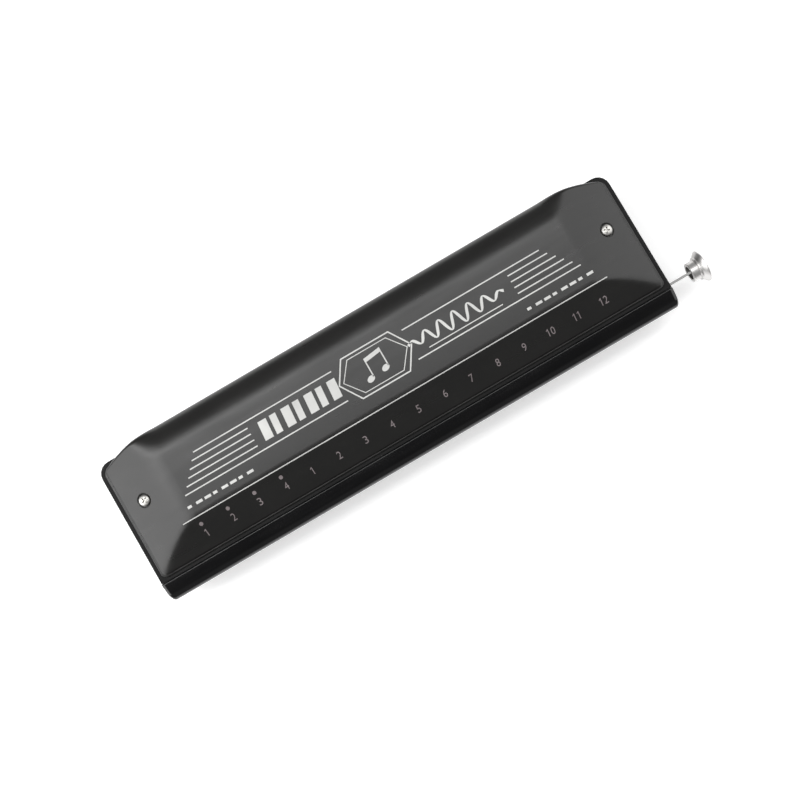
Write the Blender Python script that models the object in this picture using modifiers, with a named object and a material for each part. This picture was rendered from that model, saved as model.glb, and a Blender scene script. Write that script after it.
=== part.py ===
"""A sixteen-hole chromatic harmonica with a spring-returned slide, modelled as separate solids.

+X runs along the body towards the slide button, -Y is the mouthpiece side and +Z is up.
The harmonica lies on the flat top of its lower cover: z = 0 is the surface that it rests on,
x = 0 is halfway along the comb and y = 0 is halfway through its depth.
"""

import math

import bmesh
import bpy
from mathutils import Matrix, Vector

MM = 0.001

# Hole layout. The body's length, the slide's travel and every opening follow from these.
HOLES = 16
HOLE_PITCH = 9.5 * MM
END_ZONE = 15.8 * MM
MOUTH_WEB = 4.5 * MM
SEAL_LAND = 0.45 * MM
CELL_WALL = 1.2 * MM

# Comb
COMB_DEPTH = 41.7 * MM
COMB_CORNER = 4.1 * MM
SEPTUM = 1.0 * MM
CHAMBER_HEIGHT = 5.5 * MM
ROW_SHOULDER = 2.2 * MM
ROW_RISE = 0.1 * MM
FRONT_WALL = 2.45 * MM
JUNCTION_DEPTH = 2.0 * MM
BASS_END_WALL = 4.8 * MM
TREBLE_CELL = 10.5 * MM

# Reed plates and reeds
PLATE_THICKNESS = 1.05 * MM
PLATE_END_MARGIN = 3.1 * MM
PLATE_SIDE_MARGIN = 2.4 * MM
REED_WIDTH = 2.05 * MM
REED_THICKNESS = 0.25 * MM
REED_PAD_LENGTH = 2.6 * MM
REED_PAD_THICKNESS = 0.55 * MM
REED_SLOT_GAP = 0.12 * MM
REED_BITE = 0.02 * MM
SLOT_END_WALL = 1.6 * MM

# Slide, its two guide plates and its button
GUIDE_THICKNESS = 0.5 * MM
SLIDE_THICKNESS = 0.7 * MM
SLIDE_RIB = 1.2 * MM
SLIDE_EDGE_GAP = 0.3 * MM
TONGUE_HEIGHT = 5.4 * MM
TONGUE_SHOULDER = 2.8 * MM
PRESSED_GAP = 4.05 * MM
BUTTON_COLLAR_RADIUS = 3.25 * MM
BUTTON_COLLAR_LENGTH = 2.7 * MM
BUTTON_BORE_RADIUS = 2.3 * MM
BUTTON_BORE_DEPTH = 1.5 * MM
BUTTON_CONE_RADIUS = 5.35 * MM
BUTTON_CONE_LENGTH = 1.6 * MM
BUTTON_LIP = 0.5 * MM
BUTTON_CROWN = 0.35 * MM
BUTTON_GRIP = 1.7 * MM

# Spring and its pin
WIRE_RADIUS = 0.3 * MM
SPRING_COIL_RADIUS = 1.35 * MM
SPRING_PIN_RADIUS = 0.8 * MM
SPRING_PIN_TOP = 1.6 * MM
SPRING_TURNS = 2
SPRING_PITCH = 0.8 * MM
SPRING_LEG = 10.6 * MM
SPRING_FIXED_LEG = 6.4 * MM
SPRING_DROP = 3.2 * MM
SPRING_WALL = 0.6 * MM
SPRING_ROOM = 0.6 * MM
SPRING_HOLE_RADIUS = 0.55 * MM

# Mouthpiece
MOUTHPIECE_DEPTH = 6.35 * MM
MOUTHPIECE_RISE = 1.15 * MM
MOUTHPIECE_ROUND = 2.7 * MM
MOUTHPIECE_END_ROUND = 1.1 * MM
MOUTHPIECE_TAPER = 0.6 * MM
END_ROUND_STEPS = 2
ROUND_STEPS = 4

# Covers
SHEET = 0.6 * MM
COVER_HEIGHT = 7.4 * MM
COVER_INSET = 1.45 * MM
COVER_FRONT_SETBACK = 1.0 * MM
COVER_OVERHANG = 1.65 * MM
COVER_CORNER = 2.0 * MM
SKIRT = 0.8 * MM
SKIRT_FLARE = 0.1 * MM
FRONT_SLOPE_RUN = 11.4 * MM
CREASE_DROP = 0.12 * MM
CREASE_ROUND = 1.6 * MM
END_SLOPE_RUN = 20.0 * MM
END_SLOPE_POWER = 1.5
HIP_BLEND = 1.8 * MM
ROLL_RUN = 9.2 * MM
END_ROLL_RUN = 4.0 * MM
END_ROLL_START = 10.0 * MM
END_ROLL_FADE = 9.0 * MM
ROLL_HEIGHT = 2.2 * MM
ROLL_LIP_IN = 1.3 * MM
ROLL_LIP_DROP = 0.95 * MM
BACK_INSET = 3.4 * MM
BACK_INSET_RUN = 19.0 * MM
REAR_OPENING_END = 11.0 * MM
REAR_OPENING_FADE = 12.0 * MM
SLOPE_MARKS = (0.0, 0.06, 0.35, 0.7, 0.94)
CREASE_MARKS = (0.0, 0.35, 0.7, 1.0)
ROLL_STEPS = 5
LIP_STEPS = 3
END_STATIONS = 9
END_STATION_SPREAD = 1.6

# Screws. A screw's hole is its radius and SCREW_CLEARANCE.
COVER_SCREW_FROM_END = 7.7 * MM
COVER_SCREW_SETBACK = 25.1 * MM
COVER_SCREW_RADIUS = 0.95 * MM
COVER_HEAD_RADIUS = 1.85 * MM
COVER_HEAD_HEIGHT = 1.2 * MM
COVER_SEAT_HEIGHT = 3.1 * MM
COVER_CUP_GAP = 0.45 * MM
NUT_SLEEVE_RADIUS = 1.45 * MM
NUT_FOOT_GAP = 0.3 * MM
NUT_TIP_GAP = 0.4 * MM
MOUTH_SCREW_FROM_END = 6.8 * MM
MOUTH_SCREW_RADIUS = 0.9 * MM
MOUTH_SCREW_BITE = 5.0 * MM
MOUTH_HEAD_RADIUS = 1.8 * MM
MOUTH_HEAD_HEIGHT = 1.0 * MM
MOUTH_HEAD_SINK = 1.3 * MM
BUMPER_RADIUS = 1.45 * MM
PLATE_SCREW_FROM_END = 5.8 * MM
PLATE_SCREW_FROM_FRONT = 6.35 * MM
PLATE_SCREW_FROM_BACK = 5.6 * MM
PLATE_SCREW_RADIUS = 0.7 * MM
PLATE_SCREW_BITE = 3.0 * MM
PLATE_HEAD_RADIUS = 1.4 * MM
PLATE_HEAD_HEIGHT = 0.8 * MM
PLATE_HEAD_EDGE = 0.2 * MM
HEAD_CURVE = ((0.0, 1.0), (0.6, 0.93), (0.92, 0.62), (1.0, 0.2))
DRIVE_WIDTH = 0.45 * MM
DRIVE_SHARE = 0.62
SCREW_CLEARANCE = 0.15 * MM

# Gaps: SEAT between pieces that are fastened together, RUN between the slide and its guides.
SEAT = 0.05 * MM
RUN = 0.05 * MM

# How finely round pieces are cut up
SCREW_STEPS = 12
SMALL_SCREW_STEPS = 8
COIL_STEPS = 12
CORNER_STEPS = 5
BUTTON_STEPS = 32
BORE_SIDES = 12
CUT_PAST = 1.0 * MM
MERGE = 0.001 * MM

# Sizes that follow from the ones above, measured from the middle plane of the comb
TRAVEL = HOLE_PITCH / 2
BODY_LENGTH = HOLES * HOLE_PITCH + 2 * END_ZONE
BODY_END = BODY_LENGTH / 2
FRONT = -COMB_DEPTH / 2
BACK = COMB_DEPTH / 2
SLOT_WIDTH = TRAVEL - SEAL_LAND
MOUTH_HOLE_WIDTH = HOLE_PITCH - MOUTH_WEB
CELL_WIDTH = HOLE_PITCH / 2 - CELL_WALL
CHAMBER_FLOOR = SEPTUM / 2
CHAMBER_TOP = CHAMBER_FLOOR + CHAMBER_HEIGHT
RIM = CHAMBER_TOP + PLATE_THICKNESS
ROW_LOW = CHAMBER_FLOOR + ROW_RISE
ROW_HIGH = CHAMBER_TOP - ROW_SHOULDER
SLIDE_HALF = ROW_HIGH + SLIDE_RIB
REBATE_HALF = SLIDE_HALF + SLIDE_EDGE_GAP
FRONT_GUIDE_Y = FRONT + SEAT + GUIDE_THICKNESS / 2
SLIDE_Y = FRONT + SEAT + GUIDE_THICKNESS + RUN + SLIDE_THICKNESS / 2
BACK_GUIDE_Y = SLIDE_Y + SLIDE_THICKNESS / 2 + RUN + GUIDE_THICKNESS / 2
REBATE_BACK = BACK_GUIDE_Y + GUIDE_THICKNESS / 2 + SEAT
CELLS_FRONT = REBATE_BACK + FRONT_WALL
DIVIDER_FRONT = CELLS_FRONT + JUNCTION_DEPTH
GUIDE_END = BODY_END - TONGUE_SHOULDER - SEAT
MIDDLE_HEIGHT = RIM + COVER_HEIGHT
COVER_END = BODY_END - COVER_INSET
COVER_FRONT = FRONT + COVER_FRONT_SETBACK
COVER_BACK = BACK + COVER_OVERHANG
CREASE_Y = COVER_FRONT + FRONT_SLOPE_RUN
CREASE_HEIGHT = COVER_HEIGHT - CREASE_DROP
COVER_SCREW_X = COVER_END - COVER_SCREW_FROM_END
COVER_SCREW_Y = FRONT + COVER_SCREW_SETBACK
NUT_SLEEVE_LENGTH = COVER_SEAT_HEIGHT - SHEET - NUT_FOOT_GAP
MOUTH_SCREW_X = BODY_END - MOUTH_SCREW_FROM_END
PLATE_END = BODY_END - PLATE_END_MARGIN
PLATE_FRONT = FRONT + PLATE_SIDE_MARGIN
PLATE_BACK = BACK - PLATE_SIDE_MARGIN
SPRING_X = -HOLES * HOLE_PITCH / 2 - SPRING_WALL - SPRING_ROOM - TRAVEL / 2 - WIRE_RADIUS
SPRING_Y = REBATE_BACK + SPRING_LEG
SPRING_TIP_X = SPRING_X + TRAVEL / 2
SLIDE_LEFT = -MOUTH_SCREW_X + BUMPER_RADIUS + RUN + TRAVEL
BUTTON_START = BODY_END + PRESSED_GAP + TRAVEL


# Small helpers


def clear_scene():
    for old in list(bpy.data.objects):
        bpy.data.objects.remove(old)


def new_collection(name):
    collection = bpy.data.collections.new(name)
    bpy.context.scene.collection.children.link(collection)
    return collection


def new_empty(name, location, parent=None):
    empty = bpy.data.objects.new(name, None)
    PARTS.objects.link(empty)
    empty.location = location
    empty.parent = parent
    return empty


def new_material(name, colour, roughness, metallic):
    material = bpy.data.materials.new(name)
    material.use_nodes = True
    shader = material.node_tree.nodes["Principled BSDF"]
    shader.inputs["Base Color"].default_value = (*colour, 1.0)
    shader.inputs["Roughness"].default_value = roughness
    shader.inputs["Metallic"].default_value = metallic
    return material


def new_object(name, mesh, parent, location=(0, 0, 0), collection=None):
    piece = bpy.data.objects.new(name, mesh)
    (collection or PARTS).objects.link(piece)
    piece.parent = parent
    piece.location = location
    return piece


def new_part(name, mesh, parent, location, finish):
    part = new_object(name, mesh, parent, location)
    part.data.materials.append(new_material(name, *finish))
    return part


def mesh_from(bm, name):
    mesh = bpy.data.meshes.new(name)
    bm.to_mesh(mesh)
    bm.free()
    return mesh


def add_box(bm, low, high):
    """A box between two opposite corners."""
    size = [b - a for a, b in zip(low, high)]
    middle = [(a + b) / 2 for a, b in zip(low, high)]
    place = Matrix.Translation(middle) @ Matrix.Diagonal((*size, 1.0))
    return bmesh.ops.create_cube(bm, size=1.0, matrix=place)["verts"]


def add_cylinder(bm, centre, radius, length, axis="Z", sides=BORE_SIDES):
    place = Matrix.Translation(centre)
    if axis == "Y":
        place = place @ Matrix.Rotation(math.pi / 2, 4, "X")
    return bmesh.ops.create_cone(
        bm, cap_ends=True, segments=sides, radius1=radius, radius2=radius, depth=length, matrix=place,
    )["verts"]


def box_mesh(name, boxes):
    """One mesh that holds several boxes, each given by its low and high corners."""
    bm = bmesh.new()
    for low, high in boxes:
        add_box(bm, low, high)
    return mesh_from(bm, name)


def cylinder_mesh(name, cylinders):
    """One mesh that holds several cylinders: centre, radius, length and axis."""
    bm = bmesh.new()
    for cylinder in cylinders:
        add_cylinder(bm, *cylinder)
    return mesh_from(bm, name)


def combine(target, mesh, operation="DIFFERENCE"):
    """Cuts target with mesh, or joins mesh to it. The mesh is in target's own coordinates."""
    tool = new_object(f"{target.name}_{mesh.name}", mesh, target, (0, 0, 0), CUTTERS)
    tool.hide_render = True
    tool.display_type = "WIRE"
    modifier = target.modifiers.new(mesh.name, "BOOLEAN")
    modifier.operation = operation
    modifier.solver = "EXACT"
    modifier.object = tool


def turned_mesh(name, profile):
    """The outline of a turned piece: radius and height pairs, down its outer side."""
    bm = bmesh.new()
    points = [bm.verts.new((radius, 0, height)) for radius, height in profile]
    for upper, lower in zip(points, points[1:]):
        bm.edges.new((upper, lower))
    return mesh_from(bm, name)


def add_screw_modifier(part, steps):
    turn = part.modifiers.new("turn", "SCREW")
    turn.axis = "Z"
    turn.steps = steps
    turn.render_steps = steps
    turn.use_merge_vertices = True
    turn.merge_threshold = MERGE
    turn.use_smooth_shade = True


def both(value):
    """The same place at the left and right ends."""
    return (-value, value)


def hole_centres():
    return [(index - (HOLES - 1) / 2) * HOLE_PITCH for index in range(HOLES)]


def smoothstep(value):
    value = min(max(value, 0.0), 1.0)
    return value * value * (3 - 2 * value)


def cell_back(x):
    """Where a pair of cells ends: long for the bass on the left, short for the treble."""
    first, last = hole_centres()[0], hole_centres()[-1]
    share = (x - first) / (last - first)
    bass, treble = BACK - BASS_END_WALL, DIVIDER_FRONT + TREBLE_CELL
    return bass + (treble - bass) * share


# Comb


def make_comb(root):
    bm = bmesh.new()
    add_box(bm, (-BODY_END, FRONT, -RIM), (BODY_END, BACK, RIM))
    corners = [
        edge for edge in bm.edges
        if all(vertex.co.y > 0 for vertex in edge.verts) and edge.verts[0].co.x * edge.verts[1].co.x > 0
        and abs(edge.verts[0].co.z - edge.verts[1].co.z) > RIM
    ]
    bmesh.ops.bevel(
        bm, geom=corners, offset=COMB_CORNER, segments=CORNER_STEPS, affect="EDGES", profile=0.5,
    )
    comb = new_part("comb", mesh_from(bm, "comb"), root, (0, 0, 0), BLACK_PLASTIC)
    combine(comb, box_mesh("plate_recesses", plate_recesses()))
    combine(comb, box_mesh("cells", cells()))
    combine(comb, box_mesh("junctions", junctions()))
    combine(comb, box_mesh("windows", comb_windows()))
    combine(comb, box_mesh("slide_rebate", slide_rebate()))
    combine(comb, box_mesh("tongue_slot", tongue_slot()))
    combine(comb, box_mesh("spring_pocket", spring_pocket()))
    combine(comb, cylinder_mesh("bores", comb_bores()))


def plate_recesses():
    boxes = []
    for side in (-1, 1):
        inner, outer = side * CHAMBER_TOP, side * (RIM + CUT_PAST)
        low = (-PLATE_END - SEAT, PLATE_FRONT - SEAT, min(inner, outer))
        high = (PLATE_END + SEAT, PLATE_BACK + SEAT, max(inner, outer))
        boxes.append((low, high))
    return boxes


def chamber_heights(side):
    """From the septum to past the reed plate's seat, above or below the middle plane."""
    reach = CHAMBER_TOP + PLATE_THICKNESS / 2
    return (CHAMBER_FLOOR, reach) if side > 0 else (-reach, -CHAMBER_FLOOR)


def cells():
    boxes = []
    for side in (-1, 1):
        low_z, high_z = chamber_heights(side)
        for x in hole_centres():
            for middle in (x - HOLE_PITCH / 4, x + HOLE_PITCH / 4):
                low = (middle - CELL_WIDTH / 2, DIVIDER_FRONT, low_z)
                boxes.append((low, (middle + CELL_WIDTH / 2, cell_back(x), high_z)))
    return boxes


def junctions():
    """Where the two cells of a hole meet, in front of the divider between them."""
    half = HOLE_PITCH / 4 + CELL_WIDTH / 2
    boxes = []
    for side in (-1, 1):
        low_z, high_z = chamber_heights(side)
        for x in hole_centres():
            low = (x - half, CELLS_FRONT, low_z)
            boxes.append((low, (x + half, DIVIDER_FRONT + CUT_PAST, high_z)))
    return boxes


def row_windows(low_y, high_y, shift=(0.0, 0.0)):
    """The upper and lower row of openings, each row moved along X by its shift."""
    boxes = []
    for side, moved in zip((1, -1), shift):
        bottom, top = sorted((side * ROW_LOW, side * ROW_HIGH))
        for x in hole_centres():
            low = (x + moved - SLOT_WIDTH / 2, low_y, bottom)
            boxes.append((low, (x + moved + SLOT_WIDTH / 2, high_y, top)))
    return boxes


def comb_windows():
    return row_windows(FRONT, CELLS_FRONT + CUT_PAST)


def slide_rebate():
    low = (-GUIDE_END - SEAT, FRONT - CUT_PAST, -REBATE_HALF)
    return [(low, (GUIDE_END + SEAT, REBATE_BACK, REBATE_HALF))]


def tongue_slot():
    half = TONGUE_HEIGHT / 2 + SLIDE_EDGE_GAP
    low = (GUIDE_END - CUT_PAST, FRONT - CUT_PAST, -half)
    return [(low, (BODY_END + CUT_PAST, SLIDE_Y + SLIDE_THICKNESS / 2 + RUN, half))]


def spring_pocket_sides():
    reach = TRAVEL / 2 + WIRE_RADIUS + SPRING_ROOM
    return SPRING_X - reach, SPRING_X + reach


def spring_pocket():
    left, right = spring_pocket_sides()
    back = SPRING_Y + SPRING_COIL_RADIUS + WIRE_RADIUS + SPRING_ROOM
    low = (left, FRONT, -CHAMBER_TOP - PLATE_THICKNESS / 2)
    return [(low, (right, back, -SPRING_DROP + spring_half_height() + SPRING_ROOM))]


def spring_half_height():
    return SPRING_TURNS * SPRING_PITCH / 2 + WIRE_RADIUS


def comb_bores():
    bores = []
    for x in both(COVER_SCREW_X):
        length = 2 * RIM + CUT_PAST
        bores.append(((x, COVER_SCREW_Y, 0), COVER_SCREW_RADIUS + SCREW_CLEARANCE, length))
    for x in both(MOUTH_SCREW_X):
        middle = REBATE_BACK + MOUTH_SCREW_BITE / 2
        length = MOUTH_SCREW_BITE + 2 * SCREW_CLEARANCE
        bores.append(((x, middle, 0), MOUTH_SCREW_RADIUS + SCREW_CLEARANCE, length, "Y"))
    for x, y in plate_screw_places():
        for side in (-1, 1):
            length = PLATE_SCREW_BITE + PLATE_THICKNESS
            middle = side * (CHAMBER_TOP - PLATE_SCREW_BITE - SCREW_CLEARANCE + length / 2)
            bores.append(((x, y, middle), PLATE_SCREW_RADIUS + SCREW_CLEARANCE, length))
    bores.append(((SPRING_X, SPRING_Y, 0), SPRING_PIN_RADIUS + SEAT, 2 * SPRING_PIN_TOP + SEAT))
    return bores


def plate_screw_places():
    """Four near the corners, and two behind the shorter cells."""
    end = BODY_END - PLATE_SCREW_FROM_END
    front, back = FRONT + PLATE_SCREW_FROM_FRONT, BACK - PLATE_SCREW_FROM_BACK
    places = [(-end, front), (end, front), (-end, back), (end, back)]
    places += [(0.0, back), (HOLES / 4 * HOLE_PITCH, back)]
    return places


# Reed plates


def make_reed_plate(name, root, side):
    """A reed plate with its reeds. side is 1 above the comb and -1 below it."""
    half_length = PLATE_END
    inner = side * (CHAMBER_TOP + SEAT)
    outer = side * RIM
    low = (-half_length, PLATE_FRONT, min(inner, outer))
    high = (half_length, PLATE_BACK, max(inner, outer))
    plate = new_part(name, box_mesh(name, [(low, high)]), root, (0, 0, 0), BRASS)
    combine(plate, box_mesh("reed_slots", reed_slots(side)))
    combine(plate, cylinder_mesh("screw_holes", plate_holes(side)))
    combine(plate, reed_mesh(side), "UNION")


def reed_span(x):
    """Front and back ends of the reed slots over the cells at x."""
    return DIVIDER_FRONT - JUNCTION_DEPTH / 2, cell_back(x) - SLOT_END_WALL


def reed_places():
    """Each reed's middle, its hole's middle, and whether it lies outside (draw) or inside (blow)."""
    for x in hole_centres():
        yield x - HOLE_PITCH / 4, x, False
        yield x + HOLE_PITCH / 4, x, True


def slot_ends(x, outside):
    """The slot leaves room for the reed's pad: at the back if outside, in front if inside."""
    front, back = reed_span(x)
    return (front, back - REED_PAD_LENGTH) if outside else (front + REED_PAD_LENGTH, back)


def reed_slots(side):
    half = REED_WIDTH / 2 + REED_SLOT_GAP
    bottom, top = sorted((side * (CHAMBER_TOP - CUT_PAST), side * (RIM + CUT_PAST)))
    boxes = []
    for middle, x, outside in reed_places():
        front, back = slot_ends(x, outside)
        boxes.append(((middle - half, front, bottom), (middle + half, back, top)))
    return boxes


def plate_holes(side):
    middle, length = side * (CHAMBER_TOP + PLATE_THICKNESS / 2), 2 * PLATE_THICKNESS
    small, large = PLATE_SCREW_RADIUS + SCREW_CLEARANCE, COVER_SCREW_RADIUS + 2 * SCREW_CLEARANCE
    holes = [((x, y, middle), small, length) for x, y in plate_screw_places()]
    holes += [((x, COVER_SCREW_Y, middle), large, length) for x in both(COVER_SCREW_X)]
    return holes


def reed_mesh(side):
    """Every reed as a stepped bar: a thick pad on the plate and a thin tongue over the slot."""
    bm = bmesh.new()
    for middle, x, outside in reed_places():
        slot_front, slot_back = slot_ends(x, outside)
        front, back = reed_span(x)
        if outside:
            pad, tip, surface, up = back, slot_front + REED_SLOT_GAP, RIM, 1
        else:
            pad, tip, surface, up = front, slot_back - REED_SLOT_GAP, CHAMBER_TOP + SEAT, -1
        along = 1 if tip > pad else -1
        step = pad + along * (REED_PAD_LENGTH - REED_SLOT_GAP)
        outline = [
            (pad, -REED_BITE), (tip, -REED_BITE), (tip, REED_THICKNESS),
            (step, REED_THICKNESS), (step, REED_PAD_THICKNESS), (pad, REED_PAD_THICKNESS),
        ]
        left = middle - REED_WIDTH / 2
        corners = [bm.verts.new((left, y, side * (surface + up * height))) for y, height in outline]
        face = bm.faces.new(corners)
        moved = bmesh.ops.extrude_face_region(bm, geom=[face])["geom"]
        points = [item for item in moved if isinstance(item, bmesh.types.BMVert)]
        bmesh.ops.translate(bm, verts=points, vec=(REED_WIDTH, 0, 0))
    bmesh.ops.recalc_face_normals(bm, faces=bm.faces)
    return mesh_from(bm, "reeds")


# Slide, guide plates, button and spring


def make_guide(name, root, y, openings):
    """A thin steel plate in front of or behind the slide."""
    half = GUIDE_THICKNESS / 2
    box = ((-GUIDE_END, -half, -SLIDE_HALF), (GUIDE_END, half, SLIDE_HALF))
    guide = new_part(name, box_mesh(name, [box]), root, (0, y, 0), STEEL)
    combine(guide, box_mesh("openings", openings))
    radius = MOUTH_SCREW_RADIUS + SCREW_CLEARANCE
    bores = [((x, 0, 0), radius, 2 * GUIDE_THICKNESS, "Y") for x in both(MOUTH_SCREW_X)]
    combine(guide, cylinder_mesh("screw_holes", bores))


def mouth_holes(low_y, high_y):
    half = MOUTH_HOLE_WIDTH / 2
    return [((x - half, low_y, -ROW_HIGH), (x + half, high_y, ROW_HIGH)) for x in hole_centres()]


def back_guide_openings():
    reach = GUIDE_THICKNESS
    left, right = spring_pocket_sides()
    drop = 2 * SPRING_HOLE_RADIUS
    window = ((left, -reach, -SPRING_DROP - drop), (right, reach, -SPRING_DROP + drop))
    return row_windows(-reach, reach) + [window]


def make_slide(slide_axis):
    """The sliding plate: its upper openings line up at rest, its lower ones when it is pressed."""
    half = SLIDE_THICKNESS / 2
    shoulder = GUIDE_END
    plate = ((SLIDE_LEFT, -half, -SLIDE_HALF), (shoulder, half, SLIDE_HALF))
    slide = new_part("slide", box_mesh("slide", [plate]), slide_axis, (0, 0, 0), STEEL)
    tongue_half = TONGUE_HEIGHT / 2
    tongue_end = BUTTON_START + BUTTON_GRIP
    tongue = ((shoulder - CUT_PAST, -half, -tongue_half), (tongue_end, half, tongue_half))
    combine(slide, box_mesh("tongue", [tongue]), "UNION")
    reach = 2 * SLIDE_THICKNESS
    combine(slide, box_mesh("openings", row_windows(-reach, reach, (0.0, TRAVEL))))
    slot_half = BUMPER_RADIUS + RUN
    low = (MOUTH_SCREW_X - slot_half, -reach, -slot_half)
    combine(slide, box_mesh("stop_slot", [(low, (MOUTH_SCREW_X + TRAVEL + slot_half, reach, slot_half))]))
    hole = ((SPRING_TIP_X, 0, -SPRING_DROP), SPRING_HOLE_RADIUS, reach, "Y")
    combine(slide, cylinder_mesh("spring_hole", [hole]))


def make_button(slide_axis):
    """Collar and cone, turned about the slide's line of travel, with a slot for the tongue."""
    collar_end = BUTTON_COLLAR_LENGTH
    cone_end = collar_end + BUTTON_CONE_LENGTH
    lip_end = cone_end + BUTTON_LIP
    crown = [
        (BUTTON_CONE_RADIUS * math.sin(angle), lip_end + BUTTON_CROWN * math.cos(angle))
        for angle in (0.0, math.pi / 6, math.pi / 3, math.pi / 2)
    ]
    profile = crown + [
        (BUTTON_CONE_RADIUS, cone_end),
        (BUTTON_COLLAR_RADIUS + BUTTON_LIP / 2, collar_end),
        (BUTTON_COLLAR_RADIUS, collar_end),
        (BUTTON_COLLAR_RADIUS, 0.0),
        (BUTTON_BORE_RADIUS, 0.0),
        (BUTTON_BORE_RADIUS, BUTTON_BORE_DEPTH),
        (0.0, BUTTON_BORE_DEPTH),
    ]
    place = (BUTTON_START, 0, 0)
    button = new_part("slide_button", turned_mesh("slide_button", profile), slide_axis, place, CHROME)
    button.rotation_euler = (0, math.pi / 2, 0)
    add_screw_modifier(button, BUTTON_STEPS)
    tall, wide = TONGUE_HEIGHT / 2 + SEAT, SLIDE_THICKNESS / 2 + SEAT
    slot = ((-tall, -wide, -CUT_PAST), (tall, wide, BUTTON_GRIP + SEAT))
    combine(button, box_mesh("tongue_slot", [slot]))


def spring_coil():
    """The coil's centreline about the pin, from the fixed leg down to the free leg."""
    lean = math.atan2(TRAVEL / 2, SPRING_LEG)
    turns = SPRING_TURNS + 2 * lean / math.tau
    start = math.pi + lean
    count = int(COIL_STEPS * turns)
    rise = SPRING_TURNS * SPRING_PITCH
    coil = []
    for step in range(count + 1):
        share = step / count
        angle = start - share * turns * math.tau
        height = rise * (0.5 - share)
        x, y = SPRING_COIL_RADIUS * math.cos(angle), SPRING_COIL_RADIUS * math.sin(angle)
        coil.append(Vector((x, y, height)))
    return coil


def make_spring(root):
    """A bent wire in its pocket. The free leg's tip stands in the slide's hole."""
    coil = spring_coil()
    tip_x = SPRING_TIP_X - SPRING_X
    fixed_end = Vector((-(TRAVEL / 2 + SPRING_ROOM), -SPRING_FIXED_LEG, coil[0].z))
    bend = Vector((tip_x, REBATE_BACK + WIRE_RADIUS - SPRING_Y, 0.0))
    tip = Vector((tip_x, SLIDE_Y + SLIDE_THICKNESS / 4 - SPRING_Y, 0.0))
    points = [fixed_end] + coil + [bend, tip]
    curve = bpy.data.curves.new("slide_spring", "CURVE")
    curve.dimensions = "3D"
    curve.bevel_depth = WIRE_RADIUS
    curve.bevel_resolution = 2
    curve.use_fill_caps = True
    spline = curve.splines.new("POLY")
    spline.points.add(len(points) - 1)
    for target, point in zip(spline.points, points):
        target.co = (*point, 1.0)
    new_part("slide_spring", curve, root, (SPRING_X, SPRING_Y, -SPRING_DROP), STEEL)


def make_spring_pin(root):
    top = SPRING_PIN_TOP
    bottom = -CHAMBER_TOP + SEAT
    pin = [((0, 0, (top + bottom) / 2), SPRING_PIN_RADIUS, top - bottom)]
    new_part("spring_pin", cylinder_mesh("spring_pin", pin), root, (SPRING_X, SPRING_Y, 0), STEEL)


# Mouthpiece


def make_mouthpiece(root):
    """A rounded bar across the whole front, a little shorter at its front face."""
    half_height = RIM + MOUTHPIECE_RISE
    bm = bmesh.new()
    add_box(bm, (-BODY_END, -MOUTHPIECE_DEPTH, -half_height), (BODY_END, 0, half_height))
    front_edges = [edge for edge in bm.edges if all(vertex.co.y < 0 for vertex in edge.verts)]
    long_edges = [edge for edge in front_edges if edge.calc_length() > BODY_END]
    short_edges = [edge for edge in front_edges if edge.calc_length() < BODY_END]
    for vertex in bm.verts:
        if vertex.co.y < 0:
            vertex.co.x -= math.copysign(MOUTHPIECE_TAPER, vertex.co.x)
    bmesh.ops.bevel(
        bm, geom=short_edges, offset=MOUTHPIECE_END_ROUND, segments=END_ROUND_STEPS,
        affect="EDGES", profile=0.5,
    )
    middle = -MOUTHPIECE_DEPTH / 2
    long_edges = [
        edge for edge in bm.edges
        if edge.calc_length() > BODY_END and all(vertex.co.y < middle for vertex in edge.verts)
    ]
    bmesh.ops.bevel(
        bm, geom=long_edges, offset=MOUTHPIECE_ROUND, segments=ROUND_STEPS, affect="EDGES", profile=0.5,
    )
    place = (0, FRONT - SEAT, 0)
    mouthpiece = new_part("mouthpiece", mesh_from(bm, "mouthpiece"), root, place, BLACK_GLOSS)
    holes = mouth_holes(-MOUTHPIECE_DEPTH - CUT_PAST, CUT_PAST)
    combine(mouthpiece, box_mesh("mouth_holes", holes))
    bore, sink = MOUTH_SCREW_RADIUS + SCREW_CLEARANCE, MOUTH_HEAD_RADIUS + SCREW_CLEARANCE
    face = -MOUTHPIECE_DEPTH
    bores = [((x, face / 2, 0), bore, 2 * MOUTHPIECE_DEPTH, "Y") for x in both(MOUTH_SCREW_X)]
    combine(mouthpiece, cylinder_mesh("screw_bores", bores))
    sinks = [((x, face, 0), sink, 2 * MOUTH_HEAD_SINK, "Y") for x in both(MOUTH_SCREW_X)]
    combine(mouthpiece, cylinder_mesh("head_sinks", sinks))


# Covers


def corner_pull(distance, radius):
    """How far an outline with a round corner lies inside its straight edge."""
    if distance >= radius:
        return 0.0
    return radius - math.sqrt(radius * radius - (radius - distance) ** 2)


def cover_back_edge(x):
    """The back outline seen from above: straight, then drawn in towards each end."""
    from_end = COVER_END - abs(x)
    share = 1.0 - min(from_end / BACK_INSET_RUN, 1.0)
    return COVER_BACK - BACK_INSET * share ** 2 - corner_pull(from_end, COVER_CORNER)


def end_height(from_end):
    """How high the end slope is at a distance from the cover's end."""
    share = min(from_end / END_SLOPE_RUN, 1.0)
    return SKIRT + (COVER_HEIGHT - SKIRT) * (1.0 - (1.0 - share) ** END_SLOPE_POWER)


def hip_blend(from_end):
    """How softly the end slope meets the front slope: most at the corner, not at all on top."""
    share = min(from_end / END_SLOPE_RUN, 1.0)
    return HIP_BLEND * (1.0 - share * share)


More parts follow.
